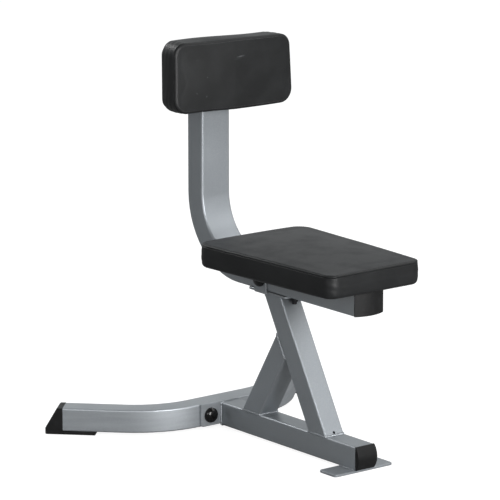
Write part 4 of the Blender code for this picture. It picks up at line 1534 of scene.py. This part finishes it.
@dataclass(frozen=True)
class Studio:
    """A plain pale floor, soft light, and the camera at the photograph's angle."""

    target: Vector = Vector((0, 0.0609, 0.4010))
    azimuth: float = -38.341
    elevation: float = 13.023
    distance: float = 8.068
    lens: float = 273.6
    sensor: float = 36
    floor_size: float = 40.0
    floor_segments: int = 4
    floor_colour: Triple = (0.25, 0.25, 0.25)
    floor_shade: float = 0.985
    floor_clouds: Noise = Noise(3, target=(0, 1))
    floor_roughness: float = 0.9
    floor_glow: float = 0.89
    tint: Triple = (0.955, 0.985, 1.0)
    left_glow: float = 0.22
    right_glow: float = 0.44
    behind_glow: float = 0.38
    softboxes: tuple[Softbox, ...] = (
        Softbox("front", (-0.2, -4.6, 1.3), 2.6, 2.2, 245),
        Softbox("side", (2.6, -1.9, 2.9), 2.2, 2.2, 26),
        Softbox("left", (-3.6, -2.4, 1.8), 1.2, 1.2, 42),
        Softbox("rear", (-0.8, 3.4, 2.9), 1.6, 1.0, 40),
        Softbox("overhead", (2.5, 0.1, 3.7), 1.2, 1.2, 18),
    )

    def camera(self) -> None:
        """Sets the camera up, level and with the stool in the middle of its frame."""
        a, e = math.radians(self.azimuth), math.radians(self.elevation)
        back = Vector((math.sin(a) * math.cos(e), -math.cos(a) * math.cos(e), math.sin(e)))
        camera = linked("camera", bpy.data.cameras.new("camera"))
        camera.data.lens, camera.data.sensor_width = self.lens, self.sensor
        camera.location = self.target + back * self.distance
        camera.rotation_euler = (-back).to_track_quat("-Z", "Y").to_euler()
        bpy.context.scene.camera = camera

    def floor(self) -> None:
        """Lays the plain pale floor, which glows to the camera so that it stays near white."""
        bm = bmesh.new()
        count = self.floor_segments
        bmesh.ops.create_grid(bm, x_segments=count, y_segments=count, size=self.floor_size / 2)
        floor = linked("floor", mesh_of(bm, "floor"))
        graph = Graph("pale_floor")
        darker = tuple(value * self.floor_shade for value in self.floor_colour)
        seen = graph.add("LightPath").outputs["Is Camera Ray"]
        material = graph.dress(
            Base_Color=graph.mixed(graph.noise(self.floor_clouds), darker, self.floor_colour),
            Roughness=self.floor_roughness,
            Emission_Color=(1, 1, 1),
            Emission_Strength=graph.sum(seen, self.floor_glow, "MULTIPLY"),
        )
        floor.data.materials.append(material)

    def surroundings(self) -> None:
        """Makes a world that looks white, and lights the stool dimly, least from the left."""
        world = bpy.data.worlds.new("studio")
        world.use_nodes = True
        tree = world.node_tree
        names = ("TexCoord", "SeparateXYZ", "MapRange", "MapRange", "Math", "Mix", "LightPath")
        made = [tree.nodes.new("ShaderNode" + name) for name in names]
        sight, split, glow, behind, both, seen, path = made
        glow.inputs["From Min"].default_value = -1
        glow.inputs["To Min"].default_value = self.left_glow
        glow.inputs["To Max"].default_value = self.right_glow
        behind.inputs["To Max"].default_value = self.behind_glow
        seen.inputs["B"].default_value = 1 / min(self.tint)
        background = tree.nodes["Background"]
        background.inputs["Color"].default_value = (*self.tint, 1)
        links = (
            (sight.outputs["Generated"], split.inputs["Vector"]),
            (split.outputs["X"], glow.inputs["Value"]),
            (path.outputs["Is Camera Ray"], seen.inputs["Factor"]),
            (split.outputs["Y"], behind.inputs["Value"]),
            (glow.outputs["Result"], both.inputs[0]),
            (behind.outputs["Result"], both.inputs[1]),
            (both.outputs[0], seen.inputs["A"]),
            (seen.outputs["Result"], background.inputs["Strength"]),
        )
        for output, socket in links:
            tree.links.new(output, socket)
        bpy.context.scene.world = world

    def build(self) -> None:
        """Sets the whole studio up."""
        self.floor()
        self.surroundings()
        for softbox in self.softboxes:
            softbox.build(self.target)
        self.camera()
        view = bpy.context.scene.view_settings
        view.view_transform = "Standard"
        view.look = "None"


def seat_pad() -> Cushion:
    """The seat pad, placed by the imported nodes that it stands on.

    Returns:
        The pad.
    """
    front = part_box("seat_rail")[0].y - SEAT_OVERHANG
    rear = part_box("saddle_plate")[1].y + SADDLE_TO_BEND + SEAT_TAIL
    plan = Outline(
        start=0,
        length=rear - front,
        start_width=246 * MM,
        end_width=293 * MM,
        start_corner=25 * MM,
        end_corner=34 * MM,
    )
    return Cushion(
        name="seat_pad",
        node="seat_cushion",
        plan=plan,
        place=Matrix.Translation((0, front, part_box("seat_cushion")[0].z)),
        band=46 * MM,
        crown=4 * MM,
        hem=9.3 * MM,
        seed=3.7,
        askew=Askew(right_thin=2 * MM),
    )


def back_pad() -> Cushion:
    """The back pad, placed on the reclined end of the post.

    Returns:
        The pad.
    """
    heading = leaning(RECLINE)
    facing = Vector((0, -math.cos(RECLINE), math.sin(RECLINE)))
    bend_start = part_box("saddle_plate")[1].y + SADDLE_TO_BEND
    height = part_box("seat_rail")[0].z + RECLINE_RISE
    centre = Vector((0, bend_start + RAIL_BEND + RECLINE_BEND, height))
    face = centre + facing * (RECLINE_BEND + SEAT_TUBE_DEPTH / 2 + GAP)
    plan = Outline(
        start=-10 * MM,
        length=151 * MM,
        start_width=309 * MM,
        end_width=301 * MM,
        start_corner=31 * MM,
        end_corner=27 * MM,
    )
    askew = Askew(
        drift=2.5 * MM,
        left_lift=3.7 * MM,
        right_drop=3.2 * MM,
        left_thin=5 * MM,
        left_spread=2.5 * MM,
        tuck=5 * MM,
        sag=4.5 * MM,
        middle=1.2 * MM,
    )
    return Cushion(
        name="back_pad",
        node="back_cushion",
        plan=plan,
        place=Matrix.Translation(face) @ axes(ACROSS, heading, facing),
        band=62 * MM,
        crown=3 * MM,
        hem=14 * MM,
        seed=9.1,
        askew=askew,
    )


def main() -> None:
    """Builds the studio and every piece in order."""
    logging.basicConfig(level=logging.INFO, format="%(name)s: %(message)s")
    Studio().build()
    finishes = Finishes()
    LOG.info("dressed %d packed nodes", Ironwork().dress(finishes))
    LOG.info("%d weld beads", Welds().build(finishes))
    caps = [BoltCap("stabilizer_bolt_cap_" + name, Vector((0, -1, 0))) for name in SIDES]
    caps += [BoltCap("ear_bolt_cap_" + name, Vector((side, 0, 0))) for name, side in SIDES.items()]
    for cap in (*caps, PostCap()):
        LOG.info("cap %s", cap.build(finishes).name)
    for pad in (seat_pad(), back_pad()):
        piece = pad.build(finishes)
        LOG.info("pad %s with %d faces", piece.name, len(piece.data.polygons))


if __name__ == "__main__":
    main()
